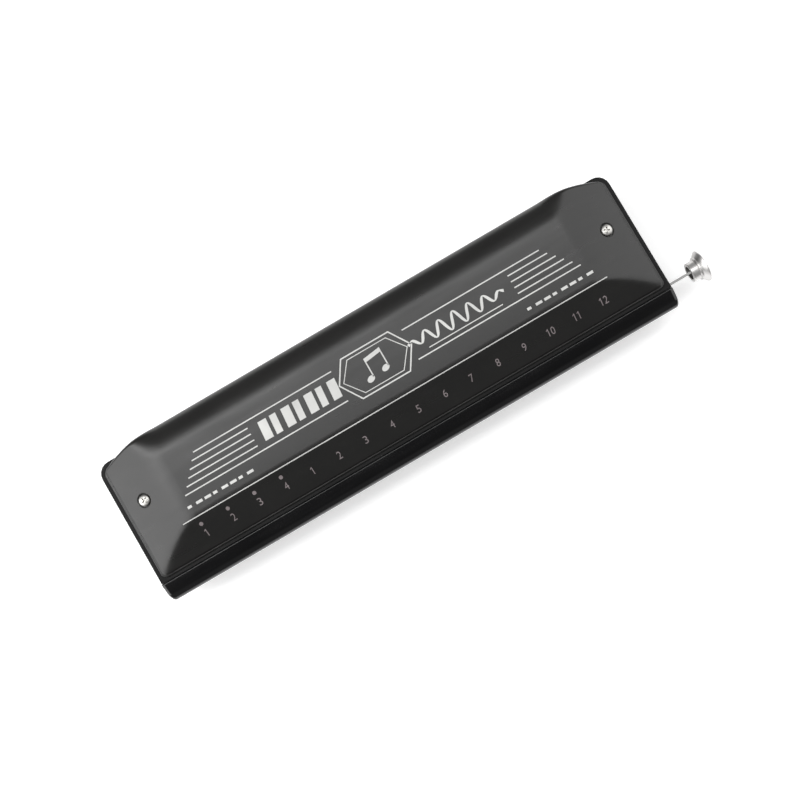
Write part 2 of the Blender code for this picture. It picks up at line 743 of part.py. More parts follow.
def front_height(from_front):
    """How high the front slope, the rounded crease and the flat top are."""
    if from_front <= FRONT_SLOPE_RUN:
        return SKIRT + (CREASE_HEIGHT - SKIRT) * from_front / FRONT_SLOPE_RUN
    share = min((from_front - FRONT_SLOPE_RUN) / CREASE_ROUND, 1.0)
    return COVER_HEIGHT - CREASE_DROP * (1.0 - share) ** 2


def lower_of(first, second, blend):
    """The smaller of two heights, with a smooth blend where they cross."""
    if abs(first - second) >= blend:
        return min(first, second)
    overlap = (blend - abs(first - second)) / blend
    return min(first, second) - overlap * overlap * blend / 4


def cover_top(x, y):
    """Height of the cover's outer surface over the comb's rim, in front of the back roll."""
    from_end = COVER_END - abs(x)
    from_front = y - COVER_FRONT
    if from_end < COVER_CORNER and from_front < COVER_CORNER:
        inside = COVER_CORNER - math.hypot(COVER_CORNER - from_end, COVER_CORNER - from_front)
        from_end = from_front = max(inside, 0.0)
    height = lower_of(end_height(from_end), front_height(from_front), hip_blend(from_end))
    return max(height, SKIRT)


def roll_run(x):
    """How deep the rolled back edge is: deep along the middle, shallow at the ends."""
    share = smoothstep((COVER_END - abs(x) - END_ROLL_START) / END_ROLL_FADE)
    return END_ROLL_RUN + (ROLL_RUN - END_ROLL_RUN) * share


def rear_opening(x):
    """0 where the back edge stands on the comb, 1 along the rear sound opening."""
    return smoothstep((COVER_END - abs(x) - REAR_OPENING_END) / REAR_OPENING_FADE)


def rolled_edge(roll_front, back, top):
    """The back edge over the rear opening: it curves out and down, then in under itself."""
    turn = min(ROLL_HEIGHT, (top + SKIRT) / 2)
    points = []
    for step in range(1, ROLL_STEPS + 1):
        angle = step / ROLL_STEPS * math.pi / 2
        y = roll_front + (back - roll_front) * math.sin(angle)
        points.append(Vector((y, turn + (top - turn) * math.cos(angle))))
    for step in range(1, LIP_STEPS + 1):
        angle = step / LIP_STEPS * math.pi / 2
        y = back - ROLL_LIP_IN * (1 - math.cos(angle))
        points.append(Vector((y, turn - ROLL_LIP_DROP * math.sin(angle))))
    return points


def standing_edge(roll_front, back, top):
    """The back edge where it stands on the comb: level, then straight down."""
    points = []
    for step in range(1, ROLL_STEPS + 1):
        points.append(Vector((roll_front + (back - roll_front) * step / ROLL_STEPS, top)))
    for step in range(1, LIP_STEPS + 1):
        points.append(Vector((back, top - (top + CUT_PAST) * step / LIP_STEPS)))
    return points


def cover_section(x):
    """The outer surface across the cover at x, from the front edge to the rolled lip."""
    front = COVER_FRONT + corner_pull(COVER_END - abs(x), COVER_CORNER)
    back = cover_back_edge(x)
    roll_front = back - roll_run(x)
    crease_end = CREASE_Y + CREASE_ROUND
    depths = [front + (CREASE_Y - front) * mark for mark in SLOPE_MARKS]
    depths += [CREASE_Y + CREASE_ROUND * mark for mark in CREASE_MARKS]
    depths += [(crease_end + roll_front) / 2, roll_front]
    points = [(front - SKIRT_FLARE, -CUT_PAST)]
    points += [(y, cover_top(x, y)) for y in depths]
    top = cover_top(x, roll_front)
    standing = standing_edge(roll_front, back, top)
    rolled = rolled_edge(roll_front, back, top)
    opening = rear_opening(x)
    points += [first.lerp(second, opening) for first, second in zip(standing, rolled)]
    return points


def cover_stations():
    """Places along X where the cover's section is taken, closer together near the ends."""
    stations = []
    for step in range(END_STATIONS + 1):
        share = (step / END_STATIONS) ** END_STATION_SPREAD
        stations.append(COVER_END - (END_SLOPE_RUN + HIP_BLEND) * share)
    return [-x for x in stations] + [0.0] + stations[::-1]


def cover_surface(name, side):
    """The cover's open outer surface, with its skirt running on past the comb's rim."""
    stations = cover_stations()
    sections = [cover_section(x) for x in stations]
    skirt_foot = [(y, -CUT_PAST) for y, height in sections[0]]
    stations = [stations[0] - SKIRT_FLARE] + stations + [stations[-1] + SKIRT_FLARE]
    sections = [skirt_foot] + sections + [skirt_foot]
    rows = len(skirt_foot)
    bm = bmesh.new()
    bmesh.ops.create_grid(bm, x_segments=len(stations) - 1, y_segments=rows - 1, size=1.0)
    ordered = sorted(bm.verts, key=lambda vertex: (round(vertex.co.x, 4), round(vertex.co.y, 4)))
    for number, vertex in enumerate(ordered):
        column, row = divmod(number, rows)
        y, height = sections[column][row]
        vertex.co = (stations[column], y, side * (RIM + height))
    bmesh.ops.remove_doubles(bm, verts=bm.verts, dist=MERGE)
    if side < 0:
        bmesh.ops.reverse_faces(bm, faces=bm.faces)
    return mesh_from(bm, name)


def make_cover(name, root, side, hole_radius):
    """A pressed cover. side is 1 for the upper one and -1 for the lower one."""
    cover = new_part(name, cover_surface(name, side), root, (0, 0, 0), BLACK_SHEET)
    shell = cover.modifiers.new("sheet", "SOLIDIFY")
    shell.thickness = SHEET
    shell.offset = -1.0
    shell.use_even_offset = True
    bottom, top = sorted((side * (RIM + SEAT), side * (RIM - 4 * CUT_PAST)))
    low = (-BODY_END - CUT_PAST, FRONT - CUT_PAST, bottom)
    high = (BODY_END + CUT_PAST, COVER_BACK + CUT_PAST, top)
    combine(cover, box_mesh("under_the_rim", [(low, high)]))
    combine(cover, cup_mesh(side), "UNION")
    combine(cover, cylinder_mesh("cup_pockets", cup_pockets(side)))
    middle, length = side * (RIM + COVER_HEIGHT / 2), 2 * COVER_HEIGHT
    holes = [((x, COVER_SCREW_Y, middle), hole_radius, length) for x in both(COVER_SCREW_X)]
    combine(cover, cylinder_mesh("screw_holes", holes))


def cup_pockets(side):
    radius = COVER_HEAD_RADIUS + COVER_CUP_GAP
    middle = side * (RIM + COVER_SEAT_HEIGHT + COVER_HEIGHT / 2)
    return [((x, COVER_SCREW_Y, middle), radius, COVER_HEIGHT) for x in both(COVER_SCREW_X)]


def cup_mesh(side):
    """The pressed cups that the screw heads sit in. Their tops follow the end slopes."""
    radius = COVER_HEAD_RADIUS + COVER_CUP_GAP + SHEET
    bm = bmesh.new()
    for end_x in both(COVER_SCREW_X):
        for vertex in add_cylinder(bm, (end_x, COVER_SCREW_Y, 0), radius, SHEET, "Z", 2 * BORE_SIDES):
            height = COVER_SEAT_HEIGHT - SHEET
            if vertex.co.z > 0:
                height = max(cover_top(vertex.co.x, vertex.co.y) - SHEET / 2, height + SEAT)
            vertex.co.z = side * (RIM + height)
    if side < 0:
        bmesh.ops.reverse_faces(bm, faces=bm.faces)
    return mesh_from(bm, "cups")


# Fasteners


def add_drive(part, head_radius, head_height, cross=True):
    """A cross or a single slot, half as deep as the head."""
    long, short = head_radius * DRIVE_SHARE, DRIVE_WIDTH / 2
    floor, above = head_height / 2, head_height + CUT_PAST
    combine(part, box_mesh("drive_slot", [((-long, -short, floor), (long, short, above))]))
    if cross:
        combine(part, box_mesh("drive_cross", [((-short, -long, floor), (short, long, above))]))


def pan_head(radius, height):
    """The outline of a rounded head, from its top down to its seat at height 0."""
    outline = [(radius * across, height * up) for across, up in HEAD_CURVE]
    return outline + [(radius, SEAT)]


def screw_profile(head_radius, head_height, shank_radius, shank_length):
    """A pan-head screw with its head's underside at height 0."""
    return [
        *pan_head(head_radius, head_height),
        (shank_radius, SEAT),
        (shank_radius, -shank_length + shank_radius),
        (0.0, -shank_length),
    ]


def make_screw(name, parent, place, turn, profile, finish, steps=SCREW_STEPS, cross=True):
    """A screw from its profile. Its head is as wide and high as the profile says."""
    screw = new_part(name, turned_mesh(name, profile), parent, place, finish)
    screw.rotation_euler = turn
    add_screw_modifier(screw, steps)
    head_radius = max(radius for radius, height in profile)
    add_drive(screw, head_radius, profile[0][1], cross)


def make_cover_fasteners(root):
    """A screw down through each end of the covers, and its sleeve nut in the lower cover."""
    seat = RIM + COVER_SEAT_HEIGHT
    length = 2 * seat - SHEET - NUT_TIP_GAP
    profile = screw_profile(COVER_HEAD_RADIUS, COVER_HEAD_HEIGHT, COVER_SCREW_RADIUS, length)
    for side, x in zip(("left", "right"), both(COVER_SCREW_X)):
        make_screw(f"cover_screw_{side}", root, (x, COVER_SCREW_Y, seat), (0, 0, 0), profile, CHROME)
        make_cover_nut(f"cover_nut_{side}", root, (x, COVER_SCREW_Y, -seat))


def make_cover_nut(name, root, place):
    """A slotted round head with a hollow sleeve that takes the cover screw."""
    bore = COVER_SCREW_RADIUS + SEAT
    profile = [
        *pan_head(COVER_HEAD_RADIUS, COVER_HEAD_HEIGHT),
        (NUT_SLEEVE_RADIUS, SEAT),
        (NUT_SLEEVE_RADIUS, -SHEET - NUT_SLEEVE_LENGTH),
        (bore, -SHEET - NUT_SLEEVE_LENGTH),
        (bore, -SHEET),
        (0.0, -SHEET),
    ]
    nut = new_part(name, turned_mesh(name, profile), root, place, CHROME)
    nut.rotation_euler = (math.pi, 0, 0)
    add_screw_modifier(nut, SCREW_STEPS)
    add_drive(nut, COVER_HEAD_RADIUS, COVER_HEAD_HEIGHT, cross=False)


def make_mouth_screws(root):
    face = FRONT - SEAT - MOUTHPIECE_DEPTH + MOUTH_HEAD_SINK
    length = REBATE_BACK + MOUTH_SCREW_BITE - face
    profile = screw_profile(MOUTH_HEAD_RADIUS, MOUTH_HEAD_HEIGHT, MOUTH_SCREW_RADIUS, length)
    for side, x in zip(("left", "right"), both(MOUTH_SCREW_X)):
        make_screw(f"mouthpiece_screw_{side}", root, (x, face, 0), (math.pi / 2, 0, 0), profile, STEEL)


def make_bumpers(root):
    """Soft rings on the mouthpiece screws, in the slide's layer: they stop it at each end."""
    half = SLIDE_THICKNESS / 2
    inner = MOUTH_SCREW_RADIUS + SEAT
    corners = [(BUMPER_RADIUS, half), (BUMPER_RADIUS, -half), (inner, -half), (inner, half)]
    profile = corners + corners[:1]
    for side, x in zip(("left", "right"), both(MOUTH_SCREW_X)):
        name = f"slide_bumper_{side}"
        bumper = new_part(name, turned_mesh(name, profile), root, (x, SLIDE_Y, 0), RUBBER)
        bumper.rotation_euler = (math.pi / 2, 0, 0)
        add_screw_modifier(bumper, SCREW_STEPS)


def make_plate_screws(root):
    profile = [
        (0.0, PLATE_HEAD_HEIGHT),
        (PLATE_HEAD_RADIUS - PLATE_HEAD_EDGE, PLATE_HEAD_HEIGHT - PLATE_HEAD_EDGE),
        (PLATE_HEAD_RADIUS, SEAT),
        (PLATE_SCREW_RADIUS, SEAT),
        (PLATE_SCREW_RADIUS, -PLATE_THICKNESS - PLATE_SCREW_BITE + SCREW_CLEARANCE),
        (0.0, -PLATE_THICKNESS - PLATE_SCREW_BITE + SCREW_CLEARANCE),
    ]
    for plate, side in (("upper", 1), ("lower", -1)):
        turn = (0, 0, 0) if side > 0 else (math.pi, 0, 0)
        for number, (x, y) in enumerate(plate_screw_places(), start=1):
            name = f"{plate}_plate_screw_{number}"
            make_screw(name, root, (x, y, side * RIM), turn, profile, STEEL, SMALL_SCREW_STEPS, cross=False)


# Finishes: colour, roughness, metallic
BLACK_SHEET = ((0.012, 0.012, 0.012), 0.38, 0.2)
BLACK_PLASTIC = ((0.01, 0.01, 0.01), 0.5, 0.0)
BLACK_GLOSS = ((0.006, 0.006, 0.007), 0.22, 0.0)
BRASS = ((0.71, 0.52, 0.24), 0.35, 1.0)
STEEL = ((0.62, 0.62, 0.63), 0.3, 1.0)
CHROME = ((0.86, 0.87, 0.88), 0.12, 1.0)
RUBBER = ((0.03, 0.03, 0.03), 0.8, 0.0)

clear_scene()
PARTS = new_collection("harmonica")
CUTTERS = new_collection("harmonica_cutters")
middle_plane = new_empty("middle_plane", (0, 0, MIDDLE_HEIGHT))
slide_line = new_empty("slide_line", (0, SLIDE_Y, 0), middle_plane)

make_comb(middle_plane)
make_reed_plate("upper_reed_plate", middle_plane, 1)
make_reed_plate("lower_reed_plate", middle_plane, -1)
make_mouthpiece(middle_plane)
make_guide("slide_front_plate", middle_plane, FRONT_GUIDE_Y, mouth_holes(-GUIDE_THICKNESS, GUIDE_THICKNESS))
make_guide("slide_back_plate", middle_plane, BACK_GUIDE_Y, back_guide_openings())
make_slide(slide_line)
make_button(slide_line)
make_spring(middle_plane)
make_spring_pin(middle_plane)
make_cover("upper_cover", middle_plane, 1, COVER_SCREW_RADIUS + SCREW_CLEARANCE)
make_cover("lower_cover", middle_plane, -1, NUT_SLEEVE_RADIUS + SCREW_CLEARANCE)
make_cover_fasteners(middle_plane)
make_mouth_screws(middle_plane)
make_bumpers(middle_plane)
make_plate_screws(middle_plane)
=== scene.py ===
"""The looks of a sixteen-hole chromatic harmonica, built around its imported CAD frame.

+X runs along the body towards the slide button, -Y is the mouthpiece side and +Z is up.
Heights in the shape code are measured from the comb's middle plane, and place_piece lifts them.
"""

import math

import bmesh
import bpy
from mathutils import Matrix, Vector


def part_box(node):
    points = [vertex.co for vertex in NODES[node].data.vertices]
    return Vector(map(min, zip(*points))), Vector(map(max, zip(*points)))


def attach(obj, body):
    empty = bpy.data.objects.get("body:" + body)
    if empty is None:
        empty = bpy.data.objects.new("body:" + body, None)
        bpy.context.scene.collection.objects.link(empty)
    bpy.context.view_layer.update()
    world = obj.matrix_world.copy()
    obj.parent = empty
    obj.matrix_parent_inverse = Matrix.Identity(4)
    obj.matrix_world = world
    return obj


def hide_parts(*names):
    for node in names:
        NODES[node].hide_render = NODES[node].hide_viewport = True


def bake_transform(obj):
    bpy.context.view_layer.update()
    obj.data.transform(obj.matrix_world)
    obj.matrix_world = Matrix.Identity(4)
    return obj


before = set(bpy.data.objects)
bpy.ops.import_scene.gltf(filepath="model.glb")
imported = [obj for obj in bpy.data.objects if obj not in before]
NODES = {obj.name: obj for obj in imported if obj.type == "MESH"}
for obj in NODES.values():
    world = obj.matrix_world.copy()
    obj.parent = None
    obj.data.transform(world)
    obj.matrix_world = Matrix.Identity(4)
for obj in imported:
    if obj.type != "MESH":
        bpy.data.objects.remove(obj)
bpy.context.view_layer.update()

MM = 0.001
HOLES = 16
HOLE_PITCH = 9.5 * MM
MERGE_DISTANCE = 0.002 * MM

# Body, from the CAD
comb_low, comb_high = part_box("comb")
cover_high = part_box("upper_cover")[1]
BODY_END = comb_high.x
FRONT, BACK = comb_low.y, comb_high.y
MIDDLE = (comb_low.z + comb_high.z) / 2
RIM = comb_high.z - MIDDLE
SEAT = 0.05 * MM

# Covers
SHEET = 0.6 * MM
COVER_HEIGHT = cover_high.z - comb_high.z
COVER_END_GAP = 1.45 * MM
COVER_FRONT_GAP = 1.0 * MM
COVER_OVERHANG = 1.65 * MM
COVER_END = BODY_END - COVER_END_GAP
COVER_FRONT = FRONT + COVER_FRONT_GAP
COVER_BACK = BACK + COVER_OVERHANG
COVER_CORNER = 2.0 * MM
SKIRT = 0.8 * MM
EDGE_ROUND = 0.3 * MM
BEAD_START = 0.55 * MM
BEAD_RUN = 0.4 * MM
FRONT_SLOPE_RUN = 11.4 * MM
CREASE_Y = COVER_FRONT + FRONT_SLOPE_RUN
CREASE_DROP = 0.12 * MM
CREASE_HEIGHT = COVER_HEIGHT - CREASE_DROP
CREASE_ROUND = 1.6 * MM
END_SLOPE_RUN = 20.0 * MM
END_SLOPE_POWER = 1.5
HIP_BLEND = 1.8 * MM
ROLL_RUN = 9.2 * MM
END_ROLL_RUN = 4.0 * MM
END_ROLL_START = 10.0 * MM
END_ROLL_FADE = 9.0 * MM
ROLL_HEIGHT = 2.2 * MM
ROLL_LIP_IN = 1.3 * MM
ROLL_LIP_DROP = 0.95 * MM
BACK_INSET = 4.0 * MM
BACK_INSET_RUN = 21.0 * MM
REAR_OPENING_END = 11.0 * MM
REAR_OPENING_FADE = 12.0 * MM
BACK_ROUND = 1.0 * MM

# How finely the covers are drawn. The marks are distances in from the sheet's edge.
EDGE_MARKS = tuple(
    mark * MM for mark in (0, 0.01, 0.03, 0.07, 0.12, 0.2, 0.3, 0.42, 0.55, 0.65, 0.8, 0.95, 1.4)
)
SLOPE_STEPS = 12
CREASE_STEPS = 8
FLAT_STEPS = 10
ROLL_STEPS = 16
LIP_STEPS = 8
END_STEPS = 34
MIDDLE_STEPS = 30

# Cover screws
SCREW_FROM_END = 7.7 * MM
SCREW_FROM_FRONT = 25.1 * MM
SCREW_X = COVER_END - SCREW_FROM_END
SCREW_Y = FRONT + SCREW_FROM_FRONT
SCREW_SEAT = 3.1 * MM
SCREW_HEAD = 1.85 * MM
SCREW_HEAD_HEIGHT = 1.2 * MM
POCKET_RADIUS = 2.12 * MM
POCKET_LIP = 0.4 * MM
CUP_RADIUS = 2.9 * MM
POCKET_LIP_SINK = 0.01 * MM
POCKET_CUT_RISE = 0.6 * MM
BOLT_HOLE = 1.1 * MM
NUT_HOLE = 1.6 * MM
SCREW_RING_STEPS = 64
LIP_ARC_STEPS = 6
BORE_STEPS = 32

# Mouthpiece
MOUTH_BACK = FRONT - SEAT
MOUTH_DEPTH = 6.35 * MM
MOUTH_FRONT = MOUTH_BACK - MOUTH_DEPTH
MOUTH_HALF = RIM + 1.15 * MM
MOUTH_ROUND = 2.7 * MM
MOUTH_END_ROUND = 1.1 * MM
MOUTH_END_SHRINK = 0.6 * MM
MOUTH_REAR_ROUND = 0.55 * MM
MOUTH_TAPER = 0.6 * MM
HOLE_HALF_WIDTH = 2.5 * MM
HOLE_HALF_HEIGHT = 3.8 * MM
HOLE_CORNER = 1.1 * MM
HOLE_LIP = 0.55 * MM
HOLE_LIP_RISE = 0.004 * MM
HOLE_CORNER_STEPS = 6
MOUTH_ROUND_STEPS = 12
MOUTH_REAR_STEPS = 4
MOUTH_END_MARKS = [mark * MM for mark in (0, 0.01, 0.04, 0.1, 0.2, 0.35, 0.55, 0.8)]
MOUTH_INNER_MARKS = [3.4 * MM, 10.2 * MM]
MOUTH_SCREW_FROM_END = 6.8 * MM
MOUTH_SCREW_X = BODY_END - MOUTH_SCREW_FROM_END
MOUTH_SINK_DEPTH = 1.3
SINK_STEPS = 40
# The screw sinks in the mouthpiece's face: radius and height in mm, from the outside in
MOUTH_SINK = (
    (0, 1.0), (2.2, 1.0), (2.2, -0.004), (2.03, -0.07), (1.95, -0.25), (1.95, -MOUTH_SINK_DEPTH),
    (1.05, -MOUTH_SINK_DEPTH), (1.05, -8.0), (0, -8.0),
)

# Screws: head radius, head height, shank radius and length
COVER_BOLT = (SCREW_HEAD, SCREW_HEAD_HEIGHT, 0.95 * MM, 18.9 * MM)
MOUTH_BOLT = (1.8 * MM, 1.0 * MM, 0.9 * MM, 11.9 * MM)
PLATE_SCREW = (1.4 * MM, 0.8 * MM, 0.7 * MM, 3.9 * MM)
PLATE_SCREWS = 6
LEFT_DRIVE_TURN = 28
RIGHT_DRIVE_TURN = 63
PLATE_DRIVE_TURN = 1.1
HEAD_STEPS = 48

# Slide, button and reeds
slide_low, slide_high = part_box("slide")
button_low, button_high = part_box("slide_button")
SLIDE_Y = (slide_low.y + slide_high.y) / 2
# The button turned about X: radius and drop from its face, or height over its foot, in mm
BUTTON_FACE = ((0, 0), (1.8, 0.03), (3.4, 0.11))
BUTTON_WAIST = ((5.1, 4.16), (4.5, 3.6), (3.9, 3.06))
BUTTON_NECK = ((3.4, 2.54), (3.27, 2.42))
BUTTON_LIP = 5.35 * MM
BUTTON_LIP_ROUND = 0.28 * MM
BUTTON_CROWN_DROP = 0.35 * MM
BUTTON_HOLE = 2.3 * MM
BUTTON_HOLE_DEPTH = 1.5 * MM
BUTTON_STEPS = 96
TONGUE_HALF_THICKNESS = 0.37 * MM
TONGUE_HALF_WIDTH = 2.75 * MM
TONGUE_SLOT_DEPTH = 1.75 * MM
SPRING_SMOOTHING = 2
REED_PAD_LENGTH = 2.6 * MM
REED_PAD_THICKNESS = 0.55 * MM
REEDS_FRONT = FRONT + 5.35 * MM
BASS_REED_BACK = BACK - 6.4 * MM
TREBLE_REED_BACK = FRONT + 15.25 * MM
VALVE_WIDTH = 2.9 * MM
VALVE_THICKNESS = 0.12 * MM
VALVE_CURL = 0.35 * MM
VALVE_FLAT_SHARE = 0.15
VALVE_GAP = 0.02 * MM
VALVE_OVERLAP = 0.5 * MM
VALVE_REACH = 0.3 * MM
VALVE_STEPS = 14
# A rivet's radius and height in mm, from its crown down
RIVET_PROFILE = ((0.0, 0.24), (0.25, 0.225), (0.42, 0.16), (0.52, 0.06), (0.54, -0.1), (0.0, -0.1))
RIVET_STEPS = 20

# Printing on the upper cover. Places are measured back from the comb's front.
INK_DEPTH = 0.06 * MM
INK_REACH = 0.3 * MM
PRINT_PITCH_SHARE = 0.9915
DIGIT_WIDTH = 0.55
DIGIT_ADVANCE = 0.63
DIGIT_CURVE_STEPS = 3
NUMBER_Y = FRONT + 6.75 * MM
NUMBER_HEIGHT = 2.4 * MM
DOT_Y = FRONT + 9.85 * MM
DOT_RADIUS = 0.62 * MM
LOW_OCTAVE_HOLES = 4
LINE_STEP = 0.5 * MM
FINE_LINE = 0.3 * MM
MITRE_LIMIT = 0.3
DISC_STEPS = 32
CREASE_LINE = (-75.4 * MM, 74.8 * MM)
STRIPE_WIDTH = 0.38 * MM
# The rest of the printing is in mm
FIGURE_ONE = (
    (-0.06, -0.5), (0.06, -0.5), (0.06, 0.5), (-0.03, 0.5), (-0.24, 0.34), (-0.24, 0.22), (-0.06, 0.34),
)
REAR_STRIPE = 30.0
STRIPE_STEP = 2.07
STRIPE_STARTS_LEFT = (-61.6, -63.3, -65.1, -66.8, -68.6, -70.3)
STRIPE_STOPS_LEFT = (-12.7, -43.5, -43.5, -43.5, -43.5, -12.7)
STRIPE_STARTS_RIGHT = (12.3, 48.6, 48.6, 48.6, 48.6, 12.3)
STRIPE_STOPS_RIGHT = (60.9, 62.6, 64.4, 66.1, 67.9, 69.6)
PRINT_CENTRE_Y = FRONT + 24.8 * MM
EMBLEM_OUTLINES = ((12.75, 6.95, 0.42), (11.2, 5.75, 0.26))
EMBLEM_CORNER = 4.4
NOTE_HEADS = ((-3.2, -3.0), (2.4, -2.2))
NOTE_HEAD_SIZE = (1.35, 0.95)
NOTE_HEAD_TILT = 0.35
NOTE_STROKES = (
    ((-2.35, -2.7), (-1.95, -2.7), (-1.95, 2.2), (-2.35, 2.2)),
    ((3.25, -1.9), (3.65, -1.9), (3.65, 3.0), (3.25, 3.0)),
    ((-2.35, 2.2), (3.65, 3.0), (3.65, 4.3), (-2.35, 3.5)),
)
BARS = 7
FIRST_BAR = -40.6
BAR_STEP = 4.05
BAR_WIDTHS = (2.9, 2.2)
BAR_HALF_HEIGHT = 3.1
BAR_SLANT = 0.5
WAVE_STEPS = 180
WAVE_TURNS = 6.5
WAVE_START = 11.6
WAVE_LENGTH = 33.8
WAVE_HEIGHT = 2.5
WAVE_SWELL_POWER = 0.6
WAVE_WIDTH = 0.35
WAVE_WIDENING = 0.55
WAVE_LINE = (17.0 * MM, 43.0 * MM)
WAVE_LINE_DROP = 3.6
DASH_STARTS = (-71.5, 48.6)
DASHES = 8
DASH_STEP = 3.0
DASH_LONG = 2.2
DASH_SHORT = 1.4
DASH_WIDTH = 0.85
DASH_Y = FRONT + 16.0 * MM

# Room. A light is its azimuth from +X and angle from straight up in degrees, its distance
# and two sizes in metres, and its radiance.
LIGHTS = (
    ("top_softbox", 122, 14.2, 0.76, 0.92, 0.20, 4.5),
    ("top_left_softbox", 152, 28, 0.80, 0.44, 0.20, 1.7),
    ("left_softbox", 178, 59, 0.75, 0.67, 0.67, 3.3),
    ("right_softbox", 2, 54, 0.75, 0.67, 0.88, 1.75),
)
SKY_SIDES = (0.28, 0.28, 0.28)
SKY_OVERHEAD = (0.1, 0.1, 0.1)
SKY_SHOWN = (0.86, 0.86, 0.86)
FLOOR_SIZE = 2.5
FLOOR_DROP = 0.02 * MM
FLOOR_GREY = (0.91, 0.91, 0.91)
FLOOR_PALE = (0.94, 0.94, 0.94)
FLOOR_GLOW = 0.32
CAMERA_LENS = 52
CAMERA_SENSOR = 36
CAMERA_TARGET = Vector((1.1, -8.65, 21.5)) * MM
CAMERA_LEAN = 3
CAMERA_ROLL = 30.31
CAMERA_DISTANCE = 0.36


# Shape helpers


def both(value):
    return (-value, value)


def smoothstep(share):
    share = min(max(share, 0.0), 1.0)
    return share * share * (3 - 2 * share)


def spaced(start, run, steps):
    """Evenly spaced places over a run, without its start."""
    return [start + run * step / steps for step in range(1, steps + 1)]


def in_metres(pairs):
    return [(first * MM, second * MM) for first, second in pairs]


def hole_centres():
    return [(index - (HOLES - 1) / 2) * HOLE_PITCH for index in range(HOLES)]


def bare_object(name, bm):
    mesh = bpy.data.meshes.new(name)
    bm.to_mesh(mesh)
    bm.free()
    piece = bpy.data.objects.new(name, mesh)
    bpy.context.scene.collection.objects.link(piece)
    return piece


def bake(piece):
    """Replaces a piece's mesh with what its modifiers make of it."""
    bpy.context.view_layer.update()
    graph = bpy.context.evaluated_depsgraph_get()
    made = bpy.data.meshes.new_from_object(piece.evaluated_get(graph))
    piece.modifiers.clear()
    piece.data = made


def combine(piece, cutter_bm, operation="DIFFERENCE"):
    cutter = bare_object("cutter", cutter_bm)
    modifier = piece.modifiers.new("cut", "BOOLEAN")
    modifier.operation = operation
    modifier.solver = "EXACT"
    modifier.object = cutter
    bake(piece)
    bpy.data.objects.remove(cutter)


def shade(piece, degrees):
    """Smooth shading up to an angle, with flat faces kept flat."""
    for polygon in piece.data.polygons:
        polygon.use_smooth = True
    piece.data.set_sharp_from_angle(angle=math.radians(degrees))
    weighted = piece.modifiers.new("normals", "WEIGHTED_NORMAL")
    weighted.keep_sharp = True
    weighted.weight = 100


def place_piece(piece, material, nodes=(), body="body", degrees=35):
    """Lifts a piece to its height, gives it its finish and joins it to the frame."""
    piece.data.transform(Matrix.Translation((0, 0, MIDDLE)))
    piece.data.materials.clear()
    piece.data.materials.append(material)
    shade(piece, degrees)
    if body:
        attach(piece, body)
    if nodes:
        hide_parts(*nodes)


def bridge(bm, rings):
    """Faces between neighbouring rings. A ring of one vertex is a pole."""
    for upper, lower in zip(rings, rings[1:]):
        count = max(len(upper), len(lower))
        for step in range(count):
            after = step + 1
            corners = [upper[step % len(upper)], lower[step % len(lower)]]
            corners += [lower[after % len(lower)], upper[after % len(upper)]]
            corners = list(dict.fromkeys(corners))
            if len(corners) > 2:
                bm.faces.new(corners)


def turned(bm, profile, steps, place):
    """A solid of revolution about Z through (radius, height) points, from the top down."""
    rings = []
    for radius, height in profile:
        if radius == 0:
            rings.append([bm.verts.new(place @ Vector((0, 0, height)))])
            continue
        ring = []
        for step in range(steps):
            angle = 2 * math.pi * step / steps
            point = Vector((radius * math.cos(angle), radius * math.sin(angle), height))
            ring.append(bm.verts.new(place @ point))
        rings.append(ring)
    bridge(bm, rings)


def arc(centre_radius, centre_height, radius, start, end, steps):
    """Points on a circular arc of a profile, with angles in degrees from the horizontal."""
    points = []
    for step in range(steps + 1):
        angle = math.radians(start + (end - start) * step / steps)
        across = centre_radius + radius * math.cos(angle)
        points.append((across, centre_height + radius * math.sin(angle)))
    return points


def wedge(bm, place, top, bottom, half_width, low, high):
    """A bar along X whose half length goes from bottom at low to top at high."""
    corners = []
    for height, reach in ((low, bottom), (high, top)):
        for x, y in ((-1, -1), (1, -1), (1, 1), (-1, 1)):
            corners.append(bm.verts.new(place @ Vector((x * reach, y * half_width, height))))
    bm.faces.new(corners[3::-1])
    bm.faces.new(corners[4:])
    for step in range(4):
        after = (step + 1) % 4
        bm.faces.new((corners[step], corners[after], corners[4 + after], corners[4 + step]))


# Finishes


def new_finish(name, metallic=0.0, **sockets):
    material = bpy.data.materials.new(name)
    material.use_nodes = True
    tree = material.node_tree
    shader = tree.nodes["Principled BSDF"]
    shader.inputs["Metallic"].default_value = metallic
    for socket, value in sockets.items():
        shader.inputs[socket.replace("_", " ")].default_value = value
    return material, tree, shader


def noise(tree, scale, detail=3.0, stretch=(1, 1, 1)):
    """Noise in the object's own metres: a scale of 1000 has features of about a millimetre."""
    coordinates = tree.nodes.new("ShaderNodeTexCoord")
    mapping = tree.nodes.new("ShaderNodeMapping")
    mapping.inputs["Scale"].default_value = stretch
    texture = tree.nodes.new("ShaderNodeTexNoise")
    texture.inputs["Scale"].default_value = scale
    texture.inputs["Detail"].default_value = detail
    tree.links.new(coordinates.outputs["Object"], mapping.inputs["Vector"])
    tree.links.new(mapping.outputs["Vector"], texture.inputs["Vector"])
    return texture.outputs[0]


def ranged(tree, value, low, high, start=0.3, end=0.7):
    node = tree.nodes.new("ShaderNodeMapRange")
    tree.links.new(value, node.inputs["Value"])
    for socket, number in (("From Min", start), ("From Max", end), ("To Min", low), ("To Max", high)):
        node.inputs[socket].default_value = number
    return node.outputs["Result"]


